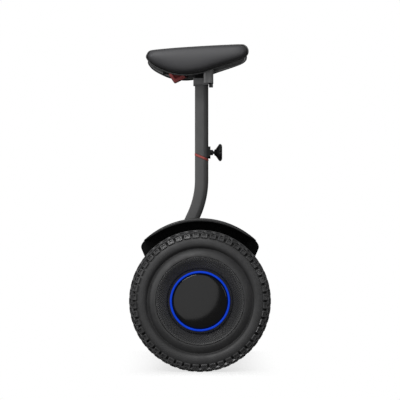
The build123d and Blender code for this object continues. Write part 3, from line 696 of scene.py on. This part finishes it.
@dataclass
class Wheel:
    """One wheel: tyre carcass, tread, knurled dish, lit ring and hub cap."""

    side: Side
    blocks_round: int = 48
    ring_steps: int = 192
    tread_height: float = 0.0036
    knurl_rows: int = 9
    knurl_round: int = 116
    knurl_start: float = 0.0030
    knurl_end: float = 0.0016
    knurl_width: float = 0.0042
    knurl_height: float = 0.0016
    dish_inner: float = 0.0585
    dish_outer: float = 0.0800
    dish_floor: float = 0.0240
    dish_rise: float = 0.0092
    centre: Point = field(init=False)

    def __post_init__(self) -> None:
        """Finds the wheel's middle from the tyre's box."""
        low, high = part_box(f"{self.side.hand}_tyre")
        self.centre = tuple((low + high) / 2)
        self.body = f"{self.side.hand}_wheel"

    def lathe(self, name: str, profile: Sequence[Flat]) -> Thing:
        """Turns a closed outline of (radius, outward) points about the axle line."""
        x, y, z = self.centre
        rings = [
            [(x + r * a, y + self.side.value * w, z + r * b) for r, w in profile]
            for a, b in circle(1.0, self.ring_steps)
        ]
        return loft(name, rings, looped=True)

    def build(self) -> None:
        """Makes every piece of the wheel."""
        self.carcass()
        self.tread()
        self.dish()
        self.knurl()
        self.ring_and_cap()

    def carcass(self) -> None:
        """The tyre without its blocks: crown, rounded sidewalls, groove and bead ring."""
        outer = mm(
            (82.6, 20), (82.6, 32.5), (83.4, 33.8), (85.2, 34), (88.5, 33.1), (92.5, 30.9),
            (96.2, 28.1), (97.8, 26.7), (98.8, 26.2), (99.6, 26.6), (100.6, 28.8), (102.2, 31.5),
            (104.6, 33), (108, 33.7), (112, 33.6), (115, 33), (118, 31.8), (121, 29.6), (123.8, 27),
            (126.2, 24), (128, 20.6), (129, 15), (129.4, 8),
        )
        inner = mm((124, 6), (122.5, 17), (118, 24), (110, 27.5), (96, 23.5), (88, 21.5))
        profile = outer + [(r, -w) for r, w in reversed(outer)]
        profile += [(r, -w) for r, w in reversed(inner)] + inner
        made = self.lathe(f"{self.side.hand}_tyre_carcass", profile)
        shade(made, 50)
        # The finish paints shade on the crown between the tread blocks.
        dressed(made, Finishes.sidewall, self.body, "tyre_rubber", f"{self.side.hand}_tyre")

    def block(self) -> Thing:
        """One tread block: a pillow with eased edges and a small dimple in its top."""
        rings = []
        for share, height in ((1.0, 0.0), (0.98, 0.8), (0.90, 1.0), (0.60, 1.0), (0.50, 0.45)):
            half = share / 2
            nip = half * 0.84
            turned = [(half, nip), (nip, half), (-nip, half), (-half, nip)]
            rings.append([(a * k, b * k, height) for k in (1, -1) for a, b in turned])
        return loft(f"{self.side.hand}_block_seed", rings)

    def tread(self) -> None:
        """Rows of blocks over the crown, the shoulders and the top of both sidewalls."""
        rings = RingTree(f"{self.side.hand}_tread_tree", self.centre, self.side)
        block = rings.shape(self.block())
        height = self.tread_height
        rows = [
            # radius, outward, tilt in degrees, phase, tangential, lateral, height
            (0.1294, 0.0062, 1, 0.0, 0.0122, 0.0102, height),
            (0.1291, 0.0172, 4, 0.5, 0.0126, 0.0098, height),
            (0.1272, 0.0236, 38, 0.0, 0.0128, 0.0086, 0.0044),
            (0.1215, 0.0291, 62, 0.5, 0.0120, 0.0088, 0.0036),
        ]
        for radius, outward, tilt, phase, tangential, lateral, rise in rows:
            for mirror in (1, -1):
                rings.ring(
                    block,
                    self.blocks_round,
                    radius,
                    outward * mirror,
                    math.radians(tilt) * mirror,
                    phase if mirror > 0 else phase + 0.5,
                    (tangential, lateral, rise),
                )
        made = rings.grow(f"{self.side.hand}_tread_blocks", Finishes.tread)
        shade(made, 30)
        dressed(made, Finishes.tread, self.body, "tyre_rubber")

    def dish_height(self, radius: float) -> float:
        """How far out the dish's face stands at a radius."""
        share = max(0.0, (radius - self.dish_inner) / (self.dish_outer - self.dish_inner))
        return self.dish_floor + self.dish_rise * share**1.5

    def dish(self) -> None:
        """The concave dish between the tyre and the lit ring, with a rolled outer rim."""
        steps = 12
        face = []
        for i in range(steps + 1):
            radius = self.dish_inner + (self.dish_outer - self.dish_inner) * i / steps
            face.append((radius, self.dish_height(radius)))
        rim = mm((80.8, 33.6), (81.6, 33.5), (82, 32.8), (82, 29.2))
        back = mm((78.9, 29.2), (75.5, 26.4), (68, 22.6), (60, 21.1), (22.1, 21.1))
        front = mm((22.1, 23.9))
        made = self.lathe(f"{self.side.hand}_dish_face", face + rim + back + front)
        shade(made, 50)
        # Its finish paints shade on the face near the lit ring.
        dressed(made, Finishes.dish, self.body, "dish_black", f"{self.side.hand}_dish")

    def knurl(self) -> None:
        """Small four-sided points in staggered rows over the dish."""
        tip = [(0.5, 0, 0), (0, 0.5, 0), (-0.5, 0, 0), (0, -0.5, 0), (0, 0, 1)]
        sides = [(3, 2, 1, 0), (0, 1, 4), (1, 2, 4), (2, 3, 4), (3, 0, 4)]
        rings = RingTree(f"{self.side.hand}_knurl_tree", self.centre, self.side)
        point = rings.shape(piece(f"{self.side.hand}_knurl_seed", tip, sides))
        first, last = self.dish_inner + self.knurl_start, self.dish_outer - self.knurl_end
        for row in range(self.knurl_rows):
            radius = first + (last - first) * row / (self.knurl_rows - 1)
            ahead, behind = self.dish_height(radius + 0.0005), self.dish_height(radius - 0.0005)
            slope = math.atan2(ahead - behind, 0.001)
            rings.ring(
                point,
                self.knurl_round,
                radius,
                self.dish_height(radius) - 0.00005,
                math.pi / 2 + slope,
                0.5 * (row % 2),
                (TURN * radius / self.knurl_round * 0.96, self.knurl_width, self.knurl_height),
            )
        # The knurl takes the same painted shade near the lit ring.
        made = rings.grow(f"{self.side.hand}_dish_knurl", Finishes.dish)
        dressed(made, Finishes.dish, self.body, "dish_black")

    def ring_and_cap(self) -> None:
        """The lit ring and the slightly domed hub cap with its eased edge."""
        ring = mm(
            (52.6, 24.1), (52.6, 33.4), (53, 34.2), (53.8, 34.6), (55.2, 34.6), (56, 34.2),
            (56.4, 33.4), (56.4, 24.1),
        )
        made = shade(self.lathe(f"{self.side.hand}_lit_ring", ring), 60)
        dressed(made, Finishes.glow, self.body, "light_blue", f"{self.side.hand}_light_ring")
        dome = []
        for i in range(11):
            share = i / 10
            dome.append((0.0488 * share, 0.0349 - 0.0034 * share**2.2))
        edge = mm((50, 31.2), (50.9, 30.6), (51.6, 29.8), (52, 29), (52.2, 27.8))
        under = mm((52.2, 24.2), (49, 24.2), (49, 26.5), (41, 29.5), (0, 31.5))
        cap = shade(self.lathe(f"{self.side.hand}_hub_dome", dome + edge + under), 60)
        dressed(cap, Finishes.cap, self.body, "cap_black", f"{self.side.hand}_hub_cap")


# ---- fender ----


@dataclass
class Fender:
    """One fender: an arched skin over the wheel, a rolled top edge and a flat inner wall."""

    side: Side
    radius: float = 0.1555
    sweep: float = 43.0
    wall_sweep: float = 47.8
    skin: float = 0.0035
    lip: float = 0.0060
    end_lip: float = 0.0012
    wall_inner: float = 0.190
    wall_outer: float = 0.197
    reach: float = 0.252
    waist: float = 0.064
    half_length: float = 0.098
    base: float = 0.088
    corner: float = 0.008
    steps: int = 64

    def build(self) -> None:
        """Makes the skin and the wall."""
        self.arch()
        self.wall()

    def arch(self) -> None:
        """The arched skin: its section rounds over into a lip that thins towards its ends."""
        rings = []
        for i in range(self.steps + 1):
            share = 2 * i / self.steps - 1
            angle = math.radians(self.sweep) * share
            fade = 1 - share**2
            skin = self.end_lip + (self.skin - self.end_lip) * min(1.0, fade * 3)
            lip = skin + (self.lip - self.skin) * fade
            roll = 0.3 * lip
            tuck = 0.010 * abs(share) ** 9
            edge = self.reach - tuck
            section = [
                (self.wall_inner, 0.0),
                (edge - roll * 1.6, 0.0),
                (edge - roll * 0.8, roll * 0.12),
                (edge - roll * 0.25, roll * 0.45),
                (edge, roll),
                (edge, lip - roll * 0.4),
                (edge - roll * 0.3, lip),
                (edge - 0.0028, lip),
                (edge - 0.0040, skin + (lip - skin) * 0.3),
                (edge - 0.0060, skin),
                (self.wall_inner, skin),
            ]
            rings.append(
                [
                    (
                        (self.radius - drop) * math.sin(angle),
                        self.side.value * y,
                        AXLE_HEIGHT + (self.radius - drop) * math.cos(angle),
                    )
                    for y, drop in section
                ]
            )
        made = shade(loft(f"{self.side.hand}_fender_arch", rings), 40)
        dressed(made, Finishes.fender, "chassis", "fender_black", f"{self.side.hand}_fender")

    def wall(self) -> None:
        """The upright wall beside the rider's foot, with rounded upper corners."""
        inside = self.radius - 0.0008
        arc = []
        for i in range(self.steps + 1):
            angle = math.radians(self.wall_sweep) * (2 * i / self.steps - 1)
            arc.append((inside * math.sin(angle), AXLE_HEIGHT + inside * math.cos(angle)))
        waist = (self.half_length, AXLE_HEIGHT + self.waist)
        foot = (self.half_length, self.base)
        kept = [point for point in arc if abs(point[0]) < arc[-1][0] - self.corner * 0.75]
        after = Vector(arc[-1]).lerp(Vector(waist), self.corner / (Vector(waist) - Vector(arc[-1])).length)
        bend = bent(Vector(kept[-1]), Vector(arc[-1]), after, [i / 8 for i in range(1, 9)])
        outline = kept + bend + [waist, foot]
        outline += [(-x, z) for x, z in reversed(bend + [waist, foot])]
        made = prism(
            f"{self.side.hand}_fender_wall",
            outline,
            self.wall_inner,
            self.wall_outer,
            lambda x, z, y: (x, self.side.value * y, z),
        )
        ease_edges(made, 0.0012, 3, 50)
        # The wall's near-black finish is partly painted shade.
        dressed(made, Finishes.wall, "chassis", "fender_black")


# ---- stem ----


@dataclass
class Stem:
    """The raked and doubly bent lower stem, the red band and the sliding upper tube."""

    axis_x: float = -0.0033
    depth: float = 0.027
    half_width: float = 0.018
    upper_bend_radius: float = 0.171
    upper_bend_height: float = 0.366
    upper_bend_angle: float = 26.0
    lower_bend_radius: float = 0.200
    rake: float = 14.0
    foot_height: float = 0.146
    joint_height: float = 0.4102
    joint_slope: float = 22.5
    band_thickness: float = 0.005
    tube_top: float = 0.5544
    corner: float = 0.0018
    edge: float = 0.0006
    wall: float = 0.003
    clamp_height: float = 0.420
    bore: float = 0.0053

    def section(self, grow: float = 0.0) -> list[Flat]:
        """The section's outline as (forward, sideways), with eased corners."""
        half = self.depth / 2
        corners = [
            (half, -self.half_width), (half, self.half_width), (-0.0045, self.half_width),
            (-0.010, 0.014), (-half, 0.007), (-half, -0.007), (-0.010, -0.014),
            (-0.0045, -self.half_width),
        ]
        scale_x, scale_y = 1 + grow / half, 1 + grow / self.half_width
        grown = [(x * scale_x, y * scale_y) for x, y in corners]
        return rounded_corners(grown, self.corner, 4)

    def path(self) -> list[tuple[float, float, float]]:
        """The centre line from the foot to the joint as (x, z, lean in radians)."""
        full, rake = math.radians(self.upper_bend_angle), math.radians(self.rake)
        bend = swing((self.axis_x, self.upper_bend_height, 0.0), full, -self.upper_bend_radius, 12)
        back = swing(bend[-1], rake, self.lower_bend_radius, 8)[1:]
        x, z, _ = back[-1]
        foot = (x + (z - self.foot_height) * math.tan(rake), self.foot_height, rake)
        return [foot, *reversed(back), *reversed(bend)]

    def ring(self, x: float, z: float, lean: float, grow: float = 0.0) -> list[Point]:
        """The section set square to the centre line."""
        return [(x + a * math.cos(lean), b, z + a * math.sin(lean)) for a, b in self.section(grow)]

    def slant(self, rise: float, grow: float = 0.0) -> list[Point]:
        """The section cut by the slanting joint, rise above the band's middle."""
        slope = math.radians(self.joint_slope)
        level = self.joint_height + rise / math.cos(slope)
        return [(self.axis_x + a, b, level + a * math.tan(slope)) for a, b in self.section(grow)]

    def build(self) -> None:
        """Makes the two tubes and the band."""
        half = self.band_thickness / 2
        lower = loft(
            "lower_stem_tube",
            [
                *(self.ring(*place) for place in self.path()),
                self.slant(-half - self.edge),
                self.slant(-half, -self.edge),
            ],
        )
        dressed(shade(lower, 32), Finishes.stem, "steering_column", "stem_grey", "lower_stem")
        grow = 0.0004
        band = loft(
            "stop_band_ring",
            [
                self.slant(-half + 0.0001, grow - 0.0008),
                self.slant(-half + 0.0009, grow),
                self.slant(half - 0.0010, grow),
                self.slant(half - 0.0002, grow - 0.0008),
            ],
        )
        dressed(shade(band, 32), Finishes.band, "steering_column", "band_red", "stop_band")
        dressed(self.upper_tube(half), Finishes.stem, "mast", "stem_grey", "upper_tube")

    def upper_tube(self, start: float) -> Thing:
        """The hollow upper tube, with a bore for the clamp shoe in its rear wall."""
        outer, inner = (
            [(self.axis_x + a, b, self.tube_top) for a, b in self.section(grow)]
            for grow in (0.0, -self.wall)
        )
        foot = [self.slant(start, -self.edge), self.slant(start + self.edge)]
        made = loft("upper_stem_tube", [*foot, outer, inner, self.slant(start, -self.wall)], looped=True)
        rear = self.axis_x - self.depth / 2
        bore = [
            [(x, a, self.clamp_height + b) for a, b in circle(self.bore, 32)]
            for x in (rear - self.wall, rear + 2 * self.wall)
        ]
        return shade(carve(made, loft("shoe_bore", bore)), 32)


# ---- head ----


@dataclass
class KneePad:
    """One knee pad: a leaf-shaped cushion on a shell with a rounded rim."""

    side: Side
    centre: Flat = (0.005, 0.602)
    half_length: float = 0.102
    half_height: float = 0.030
    shell_inner: float = 0.066
    shell_outer: float = 0.074
    pad_outer: float = 0.101
    sink: float = 0.0004
    lift: float = 0.0014
    cell: float = 0.0045
    pressure: float = 4.0
    frames: int = 20
    most_move: float = 0.005
    least_share: float = 0.15
    free_depth: float = 0.012
    spare: float = 0.001
    leaf: tuple[Flat, ...] = tuple(mm(
        (106.2, 604), (97, 592.2), (82.5, 583.1), (62, 574.2), (40, 569.9), (20, 569.9), (-3, 574),
        (-25, 581.7), (-44, 588.3), (-64, 594.9), (-80, 600.8), (-89.5, 605.6), (-94.8, 611.5),
        (-95.8, 618.5), (-93.8, 624.5), (-89.5, 628.8), (-82, 631), (-55, 630.2), (-18, 628.4),
        (18, 626.2), (45, 624.4), (70, 622.2), (90, 620.2), (100, 617.8), (104.8, 612),
    ))

    def outline(self, inset: float, depth: float) -> list[Point]:
        """The leaf shrunk by an inset, at a distance outwards from the middle plane."""
        x_share = 1 - inset / self.half_length
        z_share = 1 - inset / self.half_height
        x, z = self.centre
        return [
            (x + (a - x) * x_share, self.side.value * depth, z + (b - z) * z_share)
            for a, b in smooth_ring(self.leaf, 6)
        ]

    def leaves(
        self, name: str, base: float, rows: Sequence[Flat], looped: bool = False, lift: float = 0.0
    ) -> Thing:
        """Joins leaves of several sizes into one piece.

        Args:
            name: the piece's name without its side.
            base: the distance from the middle plane that the rows start from.
            rows: each leaf's inset and its distance beyond the base, in millimetres.
            looped: whether the last leaf joins the first.
            lift: how far the piece is raised.

        Returns:
            The piece.
        """
        outlines = [self.outline(inset * MM, base + beyond * MM) for inset, beyond in rows]
        rings = [[(x, y, z + lift) for x, y, z in outline] for outline in outlines]
        return loft(f"{self.side.hand}_{name}", rings, looped)

    def build(self) -> None:
        """Makes the shell and the cushion."""
        self.shell()
        self.cushion()

    def shell(self) -> None:
        """The shell: a plate with a half-round rim and a seat for the cushion."""
        inner, outer = self.shell_inner, self.shell_outer
        plate = [
            (3.0, 0.0), (1.4, 0.3), (0.5, 1.3), (0.1, 2.8), (0.1, 5.0),
            (0.5, 6.6), (1.4, 7.6), (2.6, 8.0), (3.6, 7.2), (4.4, 7.2),
        ]
        bead = [
            (1.3, -3.1), (0.3, -3.0), (-0.1, -2.2), (-0.1, -1.0),
            (0.3, -0.1), (1.0, 0.3), (1.9, 0.1), (2.2, -0.8),
        ]
        seam = [(5.4, 0.6), (5.2, -0.3), (4.4, -0.8), (3.0, -0.8), (2.2, -0.3), (2.0, 0.6)]
        made = shade(self.leaves("shell_plate", inner, plate), 50)
        # The plate takes the darkened black, with painted shade.
        dressed(made, Finishes.shell, "mast", "shell_black", f"{self.side.hand}_pad_shell")
        for name, base, rows in (("shell_bead", outer, bead), ("shell_seam", inner, seam)):
            trim = shade(self.leaves(name, base, rows, looped=True), 60)
            # The bead and the seam take the grey painted highlight.
            dressed(trim, Finishes.rim, "mast", "shell_black")

    def cushion(self) -> None:
        """The cushion: remeshed evenly, blown up a little as cloth and smoothed."""
        rows = [
            (5.4, 0.0), (4.2, 0.2), (3.2, 2.0), (2.7, 5.0), (2.8, 9.0), (3.6, 13.5),
            (5.2, 17.5), (7.8, 20.5), (11.4, 22.5), (15.8, 24.0), (20.6, 24.8), (25.0, 25.2),
        ]
        made = self.leaves("knee_cushion", self.shell_outer - self.sink, rows, lift=self.lift)
        self.inflate(made)
        made.data.shade_smooth()
        dressed(made, Finishes.skin, "mast", "pad_skin", f"{self.side.hand}_knee_pad")

    def inflate(self, made: Thing) -> None:
        """Lets the cushion swell under cloth pressure, within a cap and clear of its shell."""
        modify(made, "REMESH", mode="VOXEL", voxel_size=self.cell)
        rest = [v.co.copy() for v in made.data.vertices]
        cloth = made.modifiers.new("swell", "CLOTH")
        settings = {
            "use_pressure": True, "uniform_pressure_force": self.pressure, "quality": 6,
            "tension_stiffness": 40, "compression_stiffness": 40, "bending_stiffness": 2,
        }
        for name, value in settings.items():
            setattr(cloth.settings, name, value)
        cloth.settings.effector_weights.gravity = 0.0
        scene = bpy.context.scene
        for frame in range(1, self.frames + 1):
            scene.frame_set(frame)
        swollen = made.evaluated_get(bpy.context.evaluated_depsgraph_get())
        moved = [v.co.copy() for v in swollen.data.vertices]
        made.modifiers.remove(cloth)
        scene.frame_set(1)
        seat = self.shell_outer - 0.0005
        for vertex, start, end in zip(made.data.vertices, rest, moved):
            step = end - start
            if step.length > self.most_move:
                step *= self.most_move / step.length
            place = start + step * min(1.0, max(self.least_share, (abs(start.y) - seat) / self.free_depth))
            limit = min(max(abs(place.y), seat), self.pad_outer + self.spare)
            vertex.co = (place.x, self.side.value * limit, place.z)
        modify(made, "CORRECTIVE_SMOOTH", use_only_smooth=True, iterations=6)
        modify(made, "SUBSURF", levels=1)


@dataclass
class Head:
    """The knee pads, the collar's sleeve and the release lever."""

    collar_middle: float = -0.0019
    collar_half_length: float = 0.0153
    collar_half_width: float = 0.0203
    lever_half_width: float = 0.015
    web_half_width: float = 0.004
    hinge: Flat = (0.0275, 0.574)
    pin_radius: float = 0.0015
    pin_half_length: float = 0.0184

    def build(self) -> None:
        """Makes the pads and the lever."""
        for side in Side:
            KneePad(side).build()
        self.collar()
        self.lever()

    def collar(self) -> None:
        """The grey sleeve round the bracket's foot, open through its middle."""
        levels = [
            (0.5550, 0.86), (0.5546, 0.985), (0.5551, 1.0), (0.5676, 1.0), (0.5681, 0.985), (0.5677, 0.86),
        ]
        outline = rounded_box(self.collar_half_length, self.collar_half_width, 0.0025)
        rings = [[(self.collar_middle + a * k, b * k, z) for a, b in outline] for z, k in levels]
        made = loft("collar_sleeve", rings, looped=True)
        dressed(shade(made, 40), Finishes.collar, "mast", "clamp_grey")

    def lever(self) -> None:
        """The V-shaped release lever with eased edges, a web and its pin."""
        outline = mm(
            (25.5, 571.4), (47, 560.6), (48.8, 559.8), (50.6, 559.7), (52.2, 560.6), (61.8, 575.2),
            (62.3, 576.4), (61.2, 577.2), (56.2, 577.2), (49.5, 566.5), (30.5, 576), (27, 577.2),
            (24.2, 574.5),
        )
        flat = self.lever_half_width
        made = prism("lever_blade", outline, -flat, flat, lambda x, z, y: (x, y, z))
        ease_edges(made, 0.0008, 2, 40)
        dressed(made, Finishes.lever, "lever", "lever_red", "release_lever")
        web = mm((29.5, 574.5), (49, 563), (58, 576.5))
        thin = self.web_half_width
        inner = prism("lever_web", web, -thin, thin, lambda x, z, y: (x, y, z))
        dressed(inner, Finishes.lever, "lever", "lever_red")
        x, z = self.hinge
        pin = [
            [(x + a, y, z + b) for a, b in circle(self.pin_radius, 16)]
            for y in (-self.pin_half_length, self.pin_half_length)
        ]
        dressed(shade(loft("lever_pin", pin)), Finishes.steel, "lever", "lever_red")


# ---- body between the wheels ----


@dataclass
class FootMat:
    """A foot mat: a thin rounded base with ribs across it, each eased along its edges."""

    side: Side
    centre_y: float = 0.110
    length: float = 0.154
    width: float = 0.122
    base: float = 0.154
    base_thickness: float = 0.0019
    top: float = 0.158
    corner: float = 0.010
    rib_pitch: float = 0.009
    rib_width: float = 0.0045
    rib_sink: float = 0.0003
    rib_count: int = 17
    rib_length: float = 0.112

    def build(self) -> None:
        """Makes the base and its ribs."""
        y = self.side.value * self.centre_y
        base = prism(
            f"{self.side.hand}_mat_base",
            rounded_box(self.length / 2, self.width / 2, self.corner, 6),
            self.base,
            self.base + self.base_thickness,
            lambda a, b, z: (a, y + b, z),
        )
        ease_edges(base, 0.0006, 2, 50)
        dressed(base, Finishes.mat, "chassis", "mat_rubber", f"{self.side.hand}_foot_mat")
        self.ribs(y)

    def ribs(self, y: float) -> None:
        """Repeats one eased rib along the mat with a small node tree."""
        half, long = self.rib_width / 2, self.rib_length / 2
        foot = self.base + self.base_thickness - self.rib_sink
        rise = self.top - foot
        section = [
            (-half, 0.0), (-half, rise * 0.72), (-half * 0.72, rise), (half * 0.72, rise),
            (half, rise * 0.72), (half, 0.0),
        ]
        seed = prism(f"{self.side.hand}_rib_seed", section, -long, long, lambda a, b, y: (a, y, b))
        tree = RingTree(f"{self.side.hand}_rib_tree", (0.0, y, self.base), self.side)
        rib = tree.shape(seed)
        start = -self.rib_pitch * (self.rib_count - 1) / 2
        tree.row(rib, self.rib_count, (start, y, foot), (self.rib_pitch, 0.0, 0.0))
        made = tree.grow(f"{self.side.hand}_mat_ribs", Finishes.mat)
        dressed(shade(made, 30), Finishes.mat, "chassis", "mat_rubber")


@dataclass
class Lamp:
    """A pair of slot-shaped lamps on one end of the body: domed lenses with eased rims."""

    node: str
    slot: str
    end: int
    finish: Finish
    height: float = 0.126
    half_length: float = 0.045
    half_height: float = 0.006
    face: float = 0.098
    proud: float = 0.003
    places: tuple[float, float] = (0.105, -0.105)

    def outline(self, inset: float) -> list[Flat]:
        """A slot's outline, shrunk by an inset."""
        radius = self.half_height - inset
        straight = self.half_length - self.half_height
        made = []
        for turn, centre in ((0.0, straight), (math.pi, -straight)):
            for i in range(13):
                angle = turn - math.pi / 2 + math.pi * i / 12
                made.append((centre + radius * math.cos(angle), radius * math.sin(angle)))
        return made

    def build(self) -> None:
        """Makes both lenses as one piece."""
        vertices: list[Point] = []
        faces: list[list[int]] = []
        levels = [(0.0, 0.0), (0.0, 0.45), (0.0006, 0.8), (0.0018, 0.97), (0.0034, 1.0)]
        for y in self.places:
            faces += skin_faces(len(self.outline(0)), len(levels), len(vertices))
            for inset, share in levels:
                x = self.end * (self.face + self.proud * share)
                vertices += [(x, y + a, self.height + b) for a, b in self.outline(inset)]
        made = shade(piece(f"{self.node}_lens", vertices, faces), 60)
        dressed(made, self.finish, "chassis", self.slot, self.node)


# ---- studio ----


@dataclass
class Studio:
    """A pale floor, six soft lights and a long-lens camera square to the left side.

    Attributes:
        camera_distance: how far the camera stands from the middle plane.
        camera_height: its height, level with the tops of the fenders.
        lens: its focal length in millimetres.
        sensor: its sensor's width in millimetres.
        rise: how far the view is shifted up, as a share of its width.
        aim_height: the height that the lights are aimed at.
        dimness: how strongly the surround lights the object.
        floor_radius: the floor's radius.
        floor_strength: how opaque the floor is at most.
        fade_along: the distances forward between which the floor fades out.
        fade_across: the distances sideways between which it fades out.
    """

    camera_distance: float = 4.0
    camera_height: float = 0.2887
    lens: float = 179.4
    sensor: float = 36.0
    rise: float = 0.045
    aim_height: float = 0.3
    dimness: float = 0.06
    floor_radius: float = 0.7
    floor_strength: float = 0.3
    fade_along: Flat = (0.03, 0.16)
    fade_across: Flat = (0.26, 0.38)

    def build(self) -> None:
        """Makes the stage."""
        self.world()
        self.floor()
        self.light("key", (0.9, 2.6, 2.2), 1.3, 46.0)
        self.light("panel", (0.55, 4.4, 0.55), 3.1, 27.0, "DISK")
        self.light("side", (2.5, 0.9, 1.0), 0.6, 22.0)
        self.light("fill", (-2.0, 2.4, 0.8), 1.0, 9.0)
        self.light("top", (0.2, 1.0, 2.5), 1.0, 10.0)
        self.light("far", (-0.8, -2.6, 1.4), 1.2, 8.0)
        self.camera()

    def camera(self) -> None:
        """The camera, level with the tops of the fenders, looking along minus Y."""
        data = bpy.data.cameras.new("side_camera")
        data.sensor_width = self.sensor
        data.lens = self.lens
        data.shift_y = self.rise
        data.clip_end = 100
        made = linked("side_camera", data)
        made.location = (0.0, self.camera_distance, self.camera_height)
        made.rotation_euler = (math.pi / 2, 0.0, math.pi)
        bpy.context.scene.camera = made

    def light(self, name: str, place: Point, size: float, power: float, shape: str = "SQUARE") -> None:
        """An area light aimed at the object's middle."""
        data = bpy.data.lights.new(name, "AREA")
        data.shape = shape
        data.size = size
        data.energy = power
        made = linked(name, data)
        made.location = place
        aim = Vector((0, 0, self.aim_height)) - Vector(place)
        made.rotation_euler = aim.to_track_quat("-Z", "Y").to_euler()

    def world(self) -> None:
        """A white surround that lights the object only dimly."""
        made = bpy.data.worlds.new("surround")
        graph = fresh_graph(made)
        dim, white = (
            graph.node("ShaderNodeBackground", None, {"Color": (1, 1, 1, 1), "Strength": strength})
            for strength in (self.dimness, 1.0)
        )
        seen = graph.node("ShaderNodeLightPath", output="Is Camera Ray")
        mixed = graph.node("ShaderNodeMixShader", None, {0: seen, 1: dim, 2: white})
        graph.raw("ShaderNodeOutputWorld", None, {"Surface": mixed})
        bpy.context.scene.world = made
        bpy.context.scene.view_settings.view_transform = "Standard"

    def floor(self) -> None:
        """A round pale floor that fades into the surround."""
        ring = [(x, y, 0.0) for x, y in circle(self.floor_radius, 96)]
        made = piece("floor", ring, [range(len(ring))])
        if made.data.polygons[0].normal.z < 0:
            made.data.flip_normals()
        material = bpy.data.materials.new("pale_floor")
        graph = fresh_graph(material)
        place = graph.node("ShaderNodeTexCoord", output="Object")
        split = graph.raw("ShaderNodeSeparateXYZ", None, {0: place})
        x, y = (Wire(graph, split.outputs[axis]).maths("ABSOLUTE") for axis in (0, 1))
        fade = x.span(*self.fade_along, self.floor_strength, 0.0) * y.span(*self.fade_across, 1.0, 0.0)
        sockets = {"Base Color": (0.9, 0.9, 0.9, 1), "Roughness": 0.8, "Alpha": fade}
        shader = graph.node("ShaderNodeBsdfPrincipled", None, sockets)
        graph.raw("ShaderNodeOutputMaterial", None, {"Surface": shader})
        made.data.materials.append(material)


# ---- finishes of the CAD nodes that stay ----


CAD_FINISHES: dict[Finish, tuple[str, ...]] = {
    Finishes.casing: ("chassis", "bottom_cover"),
    Finishes.deck: ("deck_cover",),
    Finishes.sleeve: ("battery_packs",),
    Finishes.board: ("control_board",),
    Finishes.alloy: ("axle_clamps", "pivot_bracket", "inner_post", "rim", "motor_cover"),
    Finishes.steel: (
        "pivot_shaft", "centring_spring", "wheel_axles", "clamp_shoe", "magnet_ring", "bearings",
    ),
    Finishes.dark_steel: ("chassis_screws", "stem_screws", "head_screws", "cover_screws"),
    Finishes.bronze: ("pivot_bushes",),
    Finishes.copper: ("motor_stators",),
    Finishes.mat: ("charge_cap", "valve"),
    Finishes.knob: ("charge_socket", "clamp_boss", "clamp_knob"),
    Finishes.clamp: ("power_button",),
    # head_bracket takes painted shade, head_clamp painted light and head_cover the shells' painted shade.
    Finishes.bracket: ("head_bracket",),
    Finishes.block: ("head_clamp",),
    Finishes.shell: ("head_cover",),
}


def dress_cad_nodes(nodes: dict[str, Thing]) -> None:
    """Gives every CAD node its finish; the stem's suits the rest."""
    finishes = {name: finish for finish, names in CAD_FINISHES.items() for name in names}
    for name, made in nodes.items():
        plain = name.removeprefix("left_").removeprefix("right_")
        finish = finishes.get(plain, Finishes.stem)
        for index in range(len(made.data.materials)):
            made.data.materials[index] = finish.material()
        if not made.data.materials:
            made.data.materials.append(finish.material())


def corners(box: tuple[Vector, Vector]) -> list[list[float]]:
    """A box's two corners as plain lists."""
    return [[round(value, 5) for value in corner] for corner in box]


def main() -> None:
    """Builds the stage and the object, piece by piece."""
    logging.basicConfig(level=logging.INFO, format="%(message)s")
    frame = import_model()
    Studio().build()
    dress_cad_nodes(frame["nodes"])
    for side in Side:
        Wheel(side).build()
        Fender(side).build()
        FootMat(side).build()
    Lamp("headlights", "lens_clear", 1, Finishes.lamp).build()
    Lamp("tail_lights", "lens_red", -1, Finishes.tail_lamp).build()
    Stem().build()
    Head().build()


if __name__ == "__main__":
    main()
